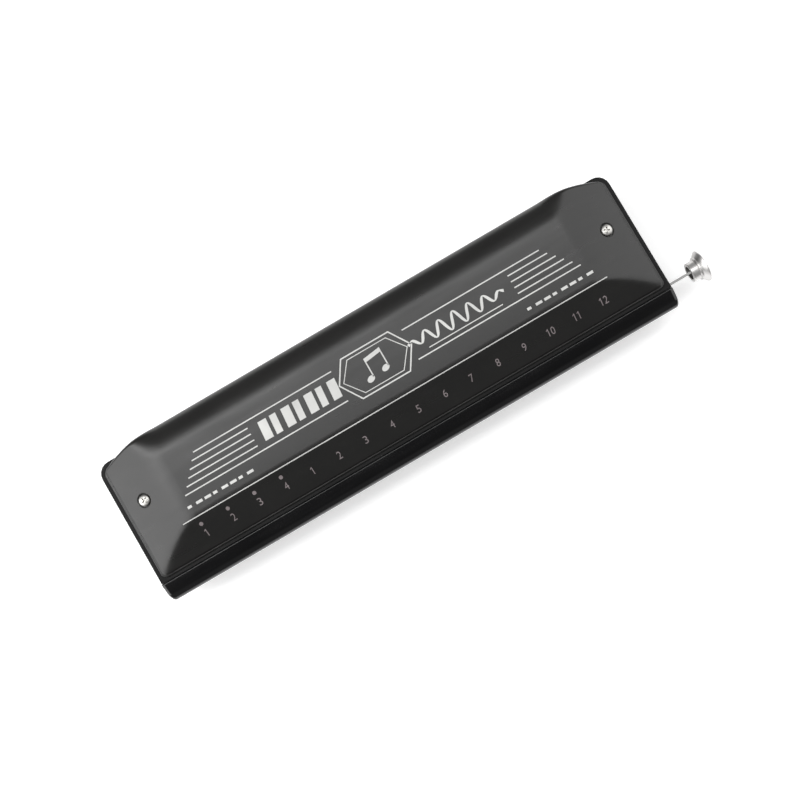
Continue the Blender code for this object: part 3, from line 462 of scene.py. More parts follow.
def mixed(tree, factor, first, second):
    node = tree.nodes.new("ShaderNodeMix")
    node.data_type = "RGBA"
    tree.links.new(factor, node.inputs[0])
    for socket, colour in ((node.inputs[6], first), (node.inputs[7], second)):
        if isinstance(colour, tuple):
            socket.default_value = (*colour, 1.0)
        else:
            tree.links.new(colour, socket)
    return node.outputs[2]


def bumped(tree, height, depth, under=None):
    node = tree.nodes.new("ShaderNodeBump")
    node.inputs["Distance"].default_value = depth
    tree.links.new(height, node.inputs["Height"])
    if under:
        tree.links.new(under, node.inputs["Normal"])
    return node.outputs["Normal"]


def connect(tree, shader, colour, roughness, normal):
    tree.links.new(colour, shader.inputs["Base Color"])
    tree.links.new(roughness, shader.inputs["Roughness"])
    tree.links.new(normal, shader.inputs["Normal"])


def speckled_finish(name, dark, light, dust, smooth, rough, peel, depth, **sockets):
    """A moulded or painted surface: clouded colour, faint rubbing marks, dust and orange peel."""
    material, tree, shader = new_finish(name, **sockets)
    colour = mixed(tree, ranged(tree, noise(tree, 90), 0, 1), dark, light)
    specks = ranged(tree, noise(tree, 3100, 1.0), 0, 1, 0.77, 0.83)
    colour = mixed(tree, specks, colour, dust)
    rubbing = noise(tree, 420, 4.0, (0.12, 1.0, 1.0))
    roughness = ranged(tree, rubbing, smooth, rough)
    fine = bumped(tree, noise(tree, peel * 4, 2.0), depth / 3)
    normal = bumped(tree, noise(tree, peel, 2.0), depth, fine)
    connect(tree, shader, colour, roughness, normal)
    return material


def metal_finish(name, bright, dull, smooth, rough, stretch, depth):
    """A worked metal: fine lines along one direction, and tarnish in soft patches."""
    material, tree, shader = new_finish(name, metallic=1.0)
    patches = ranged(tree, noise(tree, 160, 5.0), 0, 1, 0.4, 0.75)
    lines = noise(tree, 2400, 3.0, stretch)
    colour = mixed(tree, patches, bright, dull)
    roughness = ranged(tree, lines, smooth, rough)
    connect(tree, shader, colour, roughness, bumped(tree, lines, depth))
    return material


COVER_PAINT = speckled_finish(
    "satin_black_paint", (0.0062, 0.006, 0.0056), (0.0085, 0.0082, 0.0077), (0.035, 0.034, 0.031),
    0.27, 0.34, 1500, 0.0022 * MM,
)
COMB_PLASTIC = speckled_finish(
    "black_comb_plastic", (0.004, 0.004, 0.004), (0.007, 0.007, 0.007), (0.03, 0.03, 0.028),
    0.42, 0.52, 1900, 0.005 * MM, Specular_IOR_Level=0.16,
)
MOUTH_PLASTIC = speckled_finish(
    "polished_black_plastic", (0.0022, 0.0022, 0.0025), (0.0034, 0.0034, 0.0037), (0.02, 0.02, 0.02),
    0.07, 0.13, 600, 0.0008 * MM,
)
RUBBER = speckled_finish(
    "black_rubber", (0.016, 0.016, 0.016), (0.03, 0.03, 0.03), (0.07, 0.07, 0.065),
    0.7, 0.85, 5200, 0.008 * MM,
)
VALVE_FILM = speckled_finish(
    "frosted_valve_film", (0.62, 0.62, 0.58), (0.72, 0.72, 0.69), (0.5, 0.48, 0.43),
    0.38, 0.5, 2600, 0.004 * MM,
)
WHITE_INK = speckled_finish(
    "white_printing_ink", (0.50, 0.50, 0.49), (0.62, 0.62, 0.60), (0.36, 0.36, 0.35),
    0.45, 0.6, 4200, 0.003 * MM,
)
NUMBER_INK = speckled_finish(
    "faded_printing_ink", (0.16, 0.135, 0.138), (0.22, 0.19, 0.195), (0.1, 0.08, 0.083),
    0.45, 0.6, 4200, 0.003 * MM,
)
BRASS = metal_finish(
    "milled_reed_brass", (0.80, 0.60, 0.30), (0.60, 0.41, 0.18), 0.24, 0.42, (0.03, 1.0, 1.0), 0.003 * MM,
)
RIVET_BRASS = metal_finish(
    "turned_rivet_brass", (0.72, 0.52, 0.25), (0.50, 0.34, 0.15), 0.22, 0.36, (1.0, 1.0, 1.0), 0.002 * MM,
)
STEEL = metal_finish(
    "brushed_steel", (0.62, 0.62, 0.63), (0.47, 0.47, 0.48), 0.22, 0.38, (0.04, 1.0, 1.0), 0.0025 * MM,
)
SLIDE_STEEL = metal_finish(
    "worn_slide_steel", (0.34, 0.34, 0.335), (0.27, 0.27, 0.265), 0.5, 0.62, (1.0, 1.0, 1.0), 0.001 * MM,
)
SPRING_STEEL = metal_finish(
    "spring_wire_steel", (0.55, 0.55, 0.56), (0.40, 0.40, 0.41), 0.18, 0.32, (1.0, 0.1, 1.0), 0.0015 * MM,
)
CHROME = metal_finish(
    "polished_chrome", (0.70, 0.69, 0.68), (0.58, 0.57, 0.56), 0.34, 0.42, (1.0, 1.0, 1.0), 0.0005 * MM,
)
BOLT_STEEL = metal_finish(
    "stainless_bolt_steel", (0.66, 0.65, 0.62), (0.50, 0.49, 0.47), 0.38, 0.5, (1.0, 1.0, 1.0), 0.001 * MM,
)


# Covers


def corner_pull(distance, radius):
    """How far a rounded corner has drawn the edge in, at a distance from the corner's end."""
    if distance >= radius:
        return 0.0
    return radius - math.sqrt(radius * radius - (radius - distance) ** 2)


def cover_back_edge(x):
    """The cover's back edge at x: it draws in towards the ends."""
    from_end = COVER_END - abs(x)
    share = 1.0 - min(from_end / BACK_INSET_RUN, 1.0)
    return COVER_BACK - BACK_INSET * share**2 - corner_pull(from_end, COVER_CORNER)


def end_height(from_end):
    share = min(max(from_end, 0.0) / END_SLOPE_RUN, 1.0)
    return SKIRT + (COVER_HEIGHT - SKIRT) * (1.0 - (1.0 - share) ** END_SLOPE_POWER)


def hip_blend(from_end):
    """How softly the end slope meets the front slope: most at the corner, not at all on top."""
    share = min(max(from_end, 0.0) / END_SLOPE_RUN, 1.0)
    return HIP_BLEND * (1.0 - share * share)


def front_height(from_front):
    if from_front <= FRONT_SLOPE_RUN:
        return SKIRT + (CREASE_HEIGHT - SKIRT) * from_front / FRONT_SLOPE_RUN
    share = min((from_front - FRONT_SLOPE_RUN) / CREASE_ROUND, 1.0)
    return COVER_HEIGHT - CREASE_DROP * (1.0 - share) ** 2


def lower_of(first, second, blend):
    """The lower of two heights, with the ridge between them rounded off."""
    if abs(first - second) >= blend:
        return min(first, second)
    overlap = (blend - abs(first - second)) / blend
    return min(first, second) - overlap * overlap * blend / 4


def cover_top(x, y):
    """The cover's height above the comb's rim."""
    from_end, from_front = COVER_END - abs(x), y - COVER_FRONT
    if from_end < COVER_CORNER and from_front < COVER_CORNER:
        inset = COVER_CORNER - math.hypot(COVER_CORNER - from_end, COVER_CORNER - from_front)
        from_end = from_front = max(inset, 0.0)
    height = lower_of(end_height(from_end), front_height(from_front), hip_blend(from_end))
    return max(height, SKIRT)


def rounded_edge(height, inset):
    """The bead round the sheet's foot: the slope flattens out, then turns over in an arc."""
    inset = max(inset, 0.0)
    rise = min(max(inset - BEAD_START, 0.0) / BEAD_RUN, 1.0)
    height = min(height, SKIRT + (height - SKIRT) * rise)
    if inset < EDGE_ROUND:
        over = math.sqrt(EDGE_ROUND**2 - (EDGE_ROUND - inset) ** 2)
        height = min(height, SKIRT - EDGE_ROUND + over)
    return height


def roll_run(x):
    """How deep the rolled back edge is: deep along the middle, shallow at the ends."""
    share = smoothstep((COVER_END - abs(x) - END_ROLL_START) / END_ROLL_FADE)
    return END_ROLL_RUN + (ROLL_RUN - END_ROLL_RUN) * share


def rear_opening(x):
    """How open the cover's back is at x: 1 where it rolls over, 0 where it stands on the comb."""
    return smoothstep((COVER_END - abs(x) - REAR_OPENING_END) / REAR_OPENING_FADE)


def rolled_edge(roll_front, back, top):
    """The back edge over the rear opening: it curves out and down, then in under itself."""
    turn = min(ROLL_HEIGHT, (top + SKIRT) / 2)
    points = []
    for step in range(1, ROLL_STEPS + 1):
        angle = step / ROLL_STEPS * math.pi / 2
        y = roll_front + (back - roll_front) * math.sin(angle)
        points.append(Vector((y, turn + (top - turn) * math.cos(angle))))
    for step in range(1, LIP_STEPS + 1):
        angle = step / LIP_STEPS * math.pi / 2
        y = back - ROLL_LIP_IN * (1 - math.cos(angle))
        points.append(Vector((y, turn - ROLL_LIP_DROP * math.sin(angle))))
    return points


def standing_edge(roll_front, back, top, from_end):
    """The back edge where it stands on the comb: level, over a rounded corner, then down."""
    corner = min(BACK_ROUND, (top - SEAT) / 2)
    points = []
    for step in range(1, ROLL_STEPS + 1):
        inset = (back - roll_front) * (1 - math.sin(step / ROLL_STEPS * math.pi / 2))
        height = top
        if inset < corner:
            height += math.sqrt(corner**2 - (corner - inset) ** 2) - corner
        points.append(Vector((back - inset, rounded_edge(height, from_end))))
    foot = points[-1].y
    for step in range(1, LIP_STEPS + 1):
        points.append(Vector((back, foot + (SEAT - foot) * step / LIP_STEPS)))
    return points


def cover_section(x):
    """The outer surface across the cover at x, from the front foot to the rolled lip."""
    from_end = COVER_END - abs(x)
    front = COVER_FRONT + corner_pull(from_end, COVER_CORNER)
    back = cover_back_edge(x)
    roll_front = back - roll_run(x)
    points = [(front, SEAT)]
    marks = [front + mark for mark in EDGE_MARKS]
    slope_start = marks[-1]
    marks += spaced(slope_start, CREASE_Y - slope_start, SLOPE_STEPS)
    marks += spaced(CREASE_Y, CREASE_ROUND, CREASE_STEPS)
    flat_start = CREASE_Y + CREASE_ROUND
    marks += spaced(flat_start, roll_front - flat_start, FLAT_STEPS)
    for y in marks:
        inset = min(from_end, y - front)
        points.append((y, rounded_edge(cover_top(x, y), inset)))
    opening = rear_opening(x)
    top = cover_top(x, roll_front)
    standing = standing_edge(roll_front, back, top, from_end)
    rolled = rolled_edge(roll_front, back, top)
    points += [first.lerp(second, opening) for first, second in zip(standing, rolled)]
    return points


def cover_stations():
    """Places along X where the section is taken: close together at the ends."""
    marks = list(EDGE_MARKS) + [COVER_CORNER]
    reach = END_SLOPE_RUN + HIP_BLEND - COVER_CORNER
    marks += spaced(COVER_CORNER, reach, END_STEPS)
    stations = [COVER_END - mark for mark in marks]
    inner = stations[-1]
    middle = spaced(inner, -2 * inner, MIDDLE_STEPS)[:-1]
    return stations + middle + [-x for x in reversed(stations)]


def screw_cups(side):
    """The pressed cups that the cover screws sit in."""
    bm = bmesh.new()
    for x in both(SCREW_X):
        rings = []
        for ring in range(2):
            points = []
            for step in range(SCREW_RING_STEPS):
                angle = -2 * math.pi * step / SCREW_RING_STEPS * side
                px, py = x + CUP_RADIUS * math.cos(angle), SCREW_Y + CUP_RADIUS * math.sin(angle)
                height = cover_top(px, py) - SHEET / 2 if ring else SCREW_SEAT - SHEET
                points.append(bm.verts.new((px, py, side * (RIM + height))))
            rings.append(points)
        bridge(bm, rings)
        bm.faces.new(rings[0][::-1])
        bm.faces.new(rings[1])
    bmesh.ops.recalc_face_normals(bm, faces=bm.faces)
    return bm


def screw_pockets(side):
    """Cuts each pocket down to its seat, with a lip that rolls over from the sloping sheet."""
    bm = bmesh.new()
    lip_radius = POCKET_RADIUS + POCKET_LIP
    lip = [(lip_radius, POCKET_CUT_RISE)]
    lip += arc(lip_radius, -POCKET_LIP - POCKET_LIP_SINK, POCKET_LIP, 90, 180, LIP_ARC_STEPS)
    for x in both(SCREW_X):
        rings = []
        for radius, drop in lip + [(POCKET_RADIUS, None)]:
            points = []
            for step in range(SCREW_RING_STEPS):
                angle = 2 * math.pi * step / SCREW_RING_STEPS
                px, py = x + radius * math.cos(angle), SCREW_Y + radius * math.sin(angle)
                height = SCREW_SEAT if drop is None else cover_top(px, py) + drop
                points.append(bm.verts.new((px, py, side * (RIM + height))))
            rings.append(points)
        bridge(bm, rings)
        bm.faces.new(rings[0])
        bm.faces.new(rings[-1][::-1])
    bmesh.ops.recalc_face_normals(bm, faces=bm.faces)
    return bm


def bores(places, radius, low, high):
    bm = bmesh.new()
    for x, y in places:
        place = Matrix.Translation((x, y, 0))
        turned(bm, [(0, high), (radius, high), (radius, low), (0, low)], BORE_STEPS, place)
    return bm


def make_cover(name, node, side, hole_radius):
    """One pressed cover: side is 1 for the upper one and -1 for the lower one."""
    bm = bmesh.new()
    columns = [[(x, y, z) for y, z in cover_section(x)] for x in cover_stations()]
    right_foot, left_foot = [[(x, y, SEAT) for x, y, z in columns[end]] for end in (0, -1)]
    grid = []
    for column in [right_foot, *columns, left_foot]:
        grid.append([bm.verts.new((x, y, side * (RIM + z))) for x, y, z in column])
    for first, second in zip(grid, grid[1:]):
        for step in range(len(first) - 1):
            bm.faces.new((first[step], first[step + 1], second[step + 1], second[step]))
    bmesh.ops.remove_doubles(bm, verts=bm.verts, dist=MERGE_DISTANCE)
    bmesh.ops.recalc_face_normals(bm, faces=bm.faces)
    topmost = max(bm.faces, key=lambda face: side * face.calc_center_median().z)
    if topmost.normal.z * side < 0:
        bmesh.ops.reverse_faces(bm, faces=bm.faces)
    cover = bare_object(name, bm)
    solid = cover.modifiers.new("sheet", "SOLIDIFY")
    solid.thickness = SHEET
    solid.offset = -1
    solid.use_even_offset = True
    bake(cover)
    combine(cover, screw_cups(side), "UNION")
    combine(cover, screw_pockets(side))
    places = [(x, SCREW_Y) for x in both(SCREW_X)]
    low, high = sorted((side * RIM, side * (RIM + COVER_HEIGHT)))
    combine(cover, bores(places, hole_radius, low, high))
    place_piece(cover, COVER_PAINT, [node], degrees=40)


# Mouthpiece


def mouth_section(inset):
    """A closed section of the mouthpiece, at a distance in from its end."""
    pull = corner_pull(inset, MOUTH_END_ROUND)
    shrink = pull * MOUTH_END_SHRINK / MOUTH_END_ROUND
    front, half = MOUTH_FRONT + pull, MOUTH_HALF - shrink
    rear = MOUTH_BACK - MOUTH_REAR_ROUND
    points = []
    for centre_y, centre_z, radius, start, steps in (
        (rear, half - MOUTH_REAR_ROUND, MOUTH_REAR_ROUND, 0, MOUTH_REAR_STEPS),
        (front + MOUTH_ROUND, half - MOUTH_ROUND, MOUTH_ROUND, 90, MOUTH_ROUND_STEPS),
        (front + MOUTH_ROUND, -half + MOUTH_ROUND, MOUTH_ROUND, 180, MOUTH_ROUND_STEPS),
        (rear, -half + MOUTH_REAR_ROUND, MOUTH_REAR_ROUND, 270, MOUTH_REAR_STEPS),
    ):
        points += arc(centre_y, centre_z, radius, start, start + 90, steps)
    return points


def mouth_stations():
    """(side, inset) along the mouthpiece, from its right end to its left."""
    insets = MOUTH_END_MARKS + [MOUTH_END_ROUND] + MOUTH_INNER_MARKS
    right = [(1, inset) for inset in insets]
    left = [(-1, inset) for inset in reversed(insets)]
    steps = [(0, (HOLES / 2 - index) * HOLE_PITCH) for index in range(HOLES + 1)]
    return right + steps + left


def rounded_ring(bm, x, half_width, half_height, corner, y):
    """A ring of vertices round a rounded rectangle that faces along Y."""
    ring = []
    for turn, (across, up) in enumerate(((1, 1), (-1, 1), (-1, -1), (1, -1))):
        for step in range(HOLE_CORNER_STEPS + 1):
            angle = math.pi / 2 * (turn + step / HOLE_CORNER_STEPS)
            px = x + across * (half_width - corner) + corner * math.cos(angle)
            pz = up * (half_height - corner) + corner * math.sin(angle)
            ring.append(bm.verts.new((px, y, pz)))
    return ring


def mouth_cutters():
    bm = bmesh.new()
    lip = [(HOLE_LIP, MOUTH_FRONT - MM)]
    for offset, depth in arc(HOLE_LIP, HOLE_LIP, HOLE_LIP, 270, 180, LIP_ARC_STEPS):
        lip.append((offset, MOUTH_FRONT + HOLE_LIP_RISE + depth))
    lip.append((0.0, MOUTH_BACK + MM))
    for x in hole_centres():
        rings = []
        for offset, y in lip:
            size = (HOLE_HALF_WIDTH + offset, HOLE_HALF_HEIGHT + offset, HOLE_CORNER + offset)
            rings.append(rounded_ring(bm, x, *size, y))
        bridge(bm, rings)
        bm.faces.new(rings[0])
        bm.faces.new(rings[-1])
    for x in both(MOUTH_SCREW_X):
        place = Matrix.Translation((x, MOUTH_FRONT, 0)) @ Matrix.Rotation(math.pi / 2, 4, "X")
        turned(bm, in_metres(MOUTH_SINK), SINK_STEPS, place)
    bmesh.ops.recalc_face_normals(bm, faces=bm.faces)
    return bm


def make_mouthpiece():
    bm = bmesh.new()
    rings = []
    for side, inset in mouth_stations():
        ring = []
        for y, z in mouth_section(inset if side else MOUTH_DEPTH):
            end = BODY_END - MOUTH_TAPER * (MOUTH_BACK - y) / MOUTH_DEPTH
            x = side * (end - inset) if side else inset
            ring.append(bm.verts.new((x, y, z)))
        rings.append(ring)
    bridge(bm, rings)
    bm.faces.new(rings[0])
    bm.faces.new(rings[-1][::-1])
    bmesh.ops.recalc_face_normals(bm, faces=bm.faces)
    mouthpiece = bare_object("mouthpiece_body", bm)
    combine(mouthpiece, mouth_cutters())
    place_piece(mouthpiece, MOUTH_PLASTIC, ["mouthpiece"])


# Fasteners


def cut_drive(piece, place, radius, height, cross):
    """A tapered cross or a straight slot in a head of that radius and height."""
    turns = (0, 90) if cross else (0,)
    for turn in turns:
        bm = bmesh.new()
        top = radius * (0.62 if cross else 1.1)
        bottom = top * (0.5 if cross else 1.0)
        width = radius * (0.13 if cross else 0.12)
        low = height * (0.3 if cross else 0.5)
        spun = place @ Matrix.Rotation(math.radians(turn), 4, "Z")
        wedge(bm, spun, top * 1.05, bottom, width, low, height * 1.2)
        combine(piece, bm)


def head_profile(radius, height):
    """A domed pan head from its crown down to its seat."""
    crown = [(0.0, height), (radius * 0.3, height * 0.985), (radius * 0.55, height * 0.94)]
    crown += [(radius * 0.75, height * 0.85), (radius * 0.88, height * 0.72)]
    crown += [(radius * 0.96, height * 0.53), (radius, height * 0.3), (radius, height * 0.06)]
    return crown + [(radius * 0.985, 0.0)]


def make_screw(name, node, place, radius, height, shank, length, material, slot, cross):
    """A pan head screw with the seat of its head at place."""
    bm = bmesh.new()
    profile = head_profile(radius, height)
    profile += [(shank, 0.0), (shank, -length + shank), (0.0, -length)]
    turned(bm, profile, HEAD_STEPS, place)
    screw = bare_object(name, bm)
    cut_drive(screw, place, radius, height, cross)
    place_piece(screw, material, [node], degrees=40)


def make_nut(name, node, place):
    """The slotted nut in the lower cover, with its hollow sleeve."""
    bm = bmesh.new()
    bore, sleeve, foot = 1.0 * MM, 1.45 * MM, -2.6 * MM
    profile = head_profile(SCREW_HEAD, SCREW_HEAD_HEIGHT)
    profile += [(sleeve, 0.0), (sleeve, foot), (bore, foot), (bore, -SHEET), (0.0, -SHEET)]
    turned(bm, profile, HEAD_STEPS, place)
    nut = bare_object(name, bm)
    cut_drive(nut, place, SCREW_HEAD, SCREW_HEAD_HEIGHT, False)
    place_piece(nut, BOLT_STEEL, [node], degrees=40)


def make_fasteners():
    over = Matrix.Rotation(math.pi, 4, "X")
    seat = RIM + SCREW_SEAT
    mouth_seat = MOUTH_FRONT + MOUTH_SINK_DEPTH * MM
    for side, facing, turn in (("left", -1, LEFT_DRIVE_TURN), ("right", 1, RIGHT_DRIVE_TURN)):
        spin = Matrix.Rotation(math.radians(turn), 4, "Z")
        place = Matrix.Translation((facing * SCREW_X, SCREW_Y, seat)) @ spin
        node = f"cover_screw_{side}"
        make_screw(f"{side}_cover_bolt", node, place, *COVER_BOLT, BOLT_STEEL, "chrome", True)
        place = Matrix.Translation((facing * SCREW_X, SCREW_Y, -seat)) @ over @ spin
        make_nut(f"{side}_cover_nut_cap", f"cover_nut_{side}", place)
        place = Matrix.Translation((facing * MOUTH_SCREW_X, mouth_seat, 0))
        place = place @ Matrix.Rotation(math.pi / 2, 4, "X") @ spin
        node = f"mouthpiece_screw_{side}"
        make_screw(f"{side}_mouthpiece_bolt", node, place, *MOUTH_BOLT, STEEL, "steel", True)
    for level, side in (("upper", 1), ("lower", -1)):
        for number in range(1, PLATE_SCREWS + 1):
            node = f"{level}_plate_screw_{number}"
            low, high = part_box(node)
            centre = (low + high) / 2
            place = Matrix.Translation((centre.x, centre.y, side * RIM))
            if side < 0:
                place = place @ over
            place = place @ Matrix.Rotation(number * PLATE_DRIVE_TURN, 4, "Z")
            make_screw(f"{node}_head", node, place, *PLATE_SCREW, STEEL, "steel", False)


# Button, spring and reeds


def make_button():
    """The button: its face, rounded lip, waist, collar and foot, and the slot for the slide's tongue."""
    length = button_high.x - button_low.x
    crown = length - BUTTON_CROWN_DROP
    profile = [(radius * MM, length - drop * MM) for radius, drop in BUTTON_FACE]
    profile += [(4.5 * MM, crown + 0.13 * MM)]
    profile += arc(BUTTON_LIP - BUTTON_LIP_ROUND, crown - 0.2 * MM, BUTTON_LIP_ROUND, 62, -42, 7)
    profile += in_metres(BUTTON_WAIST)
    profile += arc(3.75 * MM, 2.78 * MM, 0.22 * MM, 48, -90, 5)
    profile += in_metres(BUTTON_NECK)
    profile += arc(3.0 * MM, 0.25 * MM, 0.25 * MM, 0, -90, 5)
    profile += arc(2.45 * MM, 0.15 * MM, 0.15 * MM, -90, -180, 4)
    profile += [(BUTTON_HOLE, BUTTON_HOLE_DEPTH), (0.0, BUTTON_HOLE_DEPTH)]
    place = Matrix.Translation((button_low.x, SLIDE_Y, 0)) @ Matrix.Rotation(math.pi / 2, 4, "Y")
    bm = bmesh.new()
    turned(bm, profile, BUTTON_STEPS, place)
    button = bare_object("button_cap", bm)
    slot = bmesh.new()
    reach = (TONGUE_HALF_WIDTH, TONGUE_HALF_WIDTH)
    wedge(slot, place, *reach, TONGUE_HALF_THICKNESS, -MM, TONGUE_SLOT_DEPTH)
    combine(button, slot)
    place_piece(button, CHROME, ["slide_button"], "slide_unit", 32)


def make_spring():
    """The return spring: the CAD spring's mesh, welded and smoothed."""
    piece = bpy.data.objects.new("return_spring", NODES["slide_spring"].data.copy())
    bpy.context.scene.collection.objects.link(piece)
    weld = piece.modifiers.new("weld", "WELD")
    weld.merge_threshold = MERGE_DISTANCE
    smooth = piece.modifiers.new("smooth", "SUBSURF")
    smooth.levels = smooth.render_levels = SPRING_SMOOTHING
    bake(piece)
    piece.data.transform(Matrix.Translation((0, 0, -MIDDLE)))
    place_piece(piece, SPRING_STEEL, ["slide_spring"], None, degrees=80)
    piece.modifiers.clear()
    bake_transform(piece)


def reed_backs():
    """Each hole's middle and how far back its reed slots reach."""
    for index, x in enumerate(hole_centres()):
        yield x, BASS_REED_BACK + (TREBLE_REED_BACK - BASS_REED_BACK) * index / (HOLES - 1)


def make_rivets(level, side):
    bm = bmesh.new()
    turn = Matrix() if side > 0 else Matrix.Rotation(math.pi, 4, "X")
    profile = in_metres(RIVET_PROFILE)
    for x, back in reed_backs():
        pad = (x + HOLE_PITCH / 4, back - REED_PAD_LENGTH / 2, side * (RIM + REED_PAD_THICKNESS))
        end = (x - HOLE_PITCH / 4, REEDS_FRONT + REED_PAD_LENGTH / 2, side * RIM)
        for place in (pad, end):
            turned(bm, profile, RIVET_STEPS, Matrix.Translation(place) @ turn)
    place_piece(bare_object(f"{level}_reed_rivets", bm), RIVET_BRASS)


def make_valves(level, side):
    """Thin flaps on the plate's outer face, over the slots of the reeds that lie inside."""
    bm = bmesh.new()
    for x, back in reed_backs():
        middle = x - HOLE_PITCH / 4
        start, end = REEDS_FRONT + REED_PAD_LENGTH - VALVE_OVERLAP, back + VALVE_REACH
        rings = []
        for step in range(VALVE_STEPS + 1):
            share = step / VALVE_STEPS
            y = start + (end - start) * share
            z = RIM + VALVE_GAP + VALVE_CURL * max(share - VALVE_FLAT_SHARE, 0) ** 2
            half = VALVE_WIDTH / 2
            corners = ((-half, z), (half, z), (half, z + VALVE_THICKNESS), (-half, z + VALVE_THICKNESS))
            rings.append([bm.verts.new((middle + across, y, side * up)) for across, up in corners])
        bridge(bm, rings)
        bm.faces.new(rings[0])
        bm.faces.new(rings[-1][::-1])
    bmesh.ops.recalc_face_normals(bm, faces=bm.faces)
    place_piece(bare_object(f"{level}_reed_valves", bm), VALVE_FILM)


# Printing


def ribbon(bm, path, widths, closed=False):
    """A flat band along a path, mitred at its corners."""
    count = len(path)
    edges = []
    for index, point in enumerate(path):
        before = path[index - 1] if closed or index else point
        after = path[(index + 1) % count] if closed or index < count - 1 else point
        here = Vector(point)
        into = (here - Vector(before)).normalized() if before != point else None
        out = (Vector(after) - here).normalized() if after != point else None
        into, out = into or out, out or into
        across = Vector((-(into.y + out.y), into.x + out.x)).normalized()
        stretch = 1 / max(across.dot(Vector((-into.y, into.x))), MITRE_LIMIT)
        width = widths if isinstance(widths, float) else widths[index]
        offset = across * width / 2 * stretch
        pair = []
        for spot in (here + offset, here - offset):
            pair.append(bm.verts.new((spot.x, spot.y, 0)))
        edges.append(pair)
    pairs = list(zip(edges, edges[1:]))
    if closed:
        pairs.append((edges[-1], edges[0]))
    for first, second in pairs:
        bm.faces.new((first[1], second[1], second[0], first[0]))


def line(bm, start, end, y, width):
    """A straight stripe along X, in short lengths so that it follows the sheet."""
    steps = max(int((end - start) / LINE_STEP), 1)
    path = [(start + (end - start) * step / steps, y) for step in range(steps + 1)]
    ribbon(bm, path, width)


def disc(bm, x, y, radius_x, radius_y, tilt=0.0):
    ring = []
    for step in range(DISC_STEPS):
        angle = 2 * math.pi * step / DISC_STEPS
        u, v = radius_x * math.cos(angle), radius_y * math.sin(angle)
        px, py = u * math.cos(tilt) - v * math.sin(tilt), u * math.sin(tilt) + v * math.cos(tilt)
        ring.append(bm.verts.new((x + px, y + py, 0)))
    bm.faces.new(ring)


def polygon(bm, corners):
    bm.faces.new([bm.verts.new((x, y, 0)) for x, y in corners])


def figure(bm, digit, x, y, height):
    """A plain digit centred at a place: the built-in typeface's, except for the one."""
    if digit == "1":
        polygon(bm, [(x + across * height, y + up * height) for across, up in FIGURE_ONE])
        return
    curve = bpy.data.curves.new("figure", "FONT")
    curve.body = digit
    curve.resolution_u = DIGIT_CURVE_STEPS
    holder = bpy.data.objects.new("figure", curve)
    bpy.context.scene.collection.objects.link(holder)
    bpy.context.view_layer.update()
    graph = bpy.context.evaluated_depsgraph_get()
    mesh = bpy.data.meshes.new_from_object(holder.evaluated_get(graph))
    low = [min(vertex.co[axis] for vertex in mesh.vertices) for axis in range(2)]
    high = [max(vertex.co[axis] for vertex in mesh.vertices) for axis in range(2)]
    size = Matrix.Diagonal((DIGIT_WIDTH * height / (high[0] - low[0]), height / (high[1] - low[1]), 1, 1))
    centre = Vector(((low[0] + high[0]) / 2, (low[1] + high[1]) / 2, 0))
    mesh.transform(Matrix.Translation((x, y, 0)) @ size @ Matrix.Translation(-centre))
    bm.from_mesh(mesh)
    bpy.data.objects.remove(holder)


def number(bm, text, x, y, height):
    advance = height * DIGIT_ADVANCE
    for place, digit in enumerate(text):
        figure(bm, digit, x + (place - (len(text) - 1) / 2) * advance, y, height)


def print_piece(name, bm, material):
    """Lays flat shapes on the upper cover as a thin film of ink."""
    bmesh.ops.remove_doubles(bm, verts=bm.verts, dist=MERGE_DISTANCE)
    bmesh.ops.triangulate(bm, faces=[face for face in bm.faces if len(face.verts) > 4])
    for vertex in bm.verts:
        x, y = vertex.co.x, vertex.co.y
        vertex.co.z = RIM + max(cover_top(x - INK_REACH, y), cover_top(x + INK_REACH, y))
    for face in bm.faces:
        face.normal_update()
        if face.normal.z < 0:
            face.normal_flip()
    piece = bare_object(name, bm)
    film = piece.modifiers.new("film", "SOLIDIFY")
    film.thickness = INK_DEPTH
    film.offset = 0
    bake(piece)
    place_piece(piece, material, degrees=30)


def print_numbers():
    bm = bmesh.new()
    for index, x in enumerate(hole_centres()):
        low_octave = index < LOW_OCTAVE_HOLES
        x *= PRINT_PITCH_SHARE
        label = index + 1 if low_octave else index + 1 - LOW_OCTAVE_HOLES
        number(bm, str(label), x, NUMBER_Y, NUMBER_HEIGHT)
        if low_octave:
            disc(bm, x, DOT_Y, DOT_RADIUS, DOT_RADIUS)
    print_piece("hole_numbers", bm, NUMBER_INK)


def print_stripes():
    bm = bmesh.new()
    line(bm, *CREASE_LINE, CREASE_Y, FINE_LINE)
    left = in_metres(zip(STRIPE_STARTS_LEFT, STRIPE_STOPS_LEFT))
    right = in_metres(zip(STRIPE_STARTS_RIGHT, STRIPE_STOPS_RIGHT))
    for index, pair in enumerate(zip(left, right)):
        y = FRONT + (REAR_STRIPE - STRIPE_STEP * index) * MM
        for start, end in pair:
            line(bm, start, end, y, STRIPE_WIDTH)
    print_piece("cover_stripes", bm, WHITE_INK)


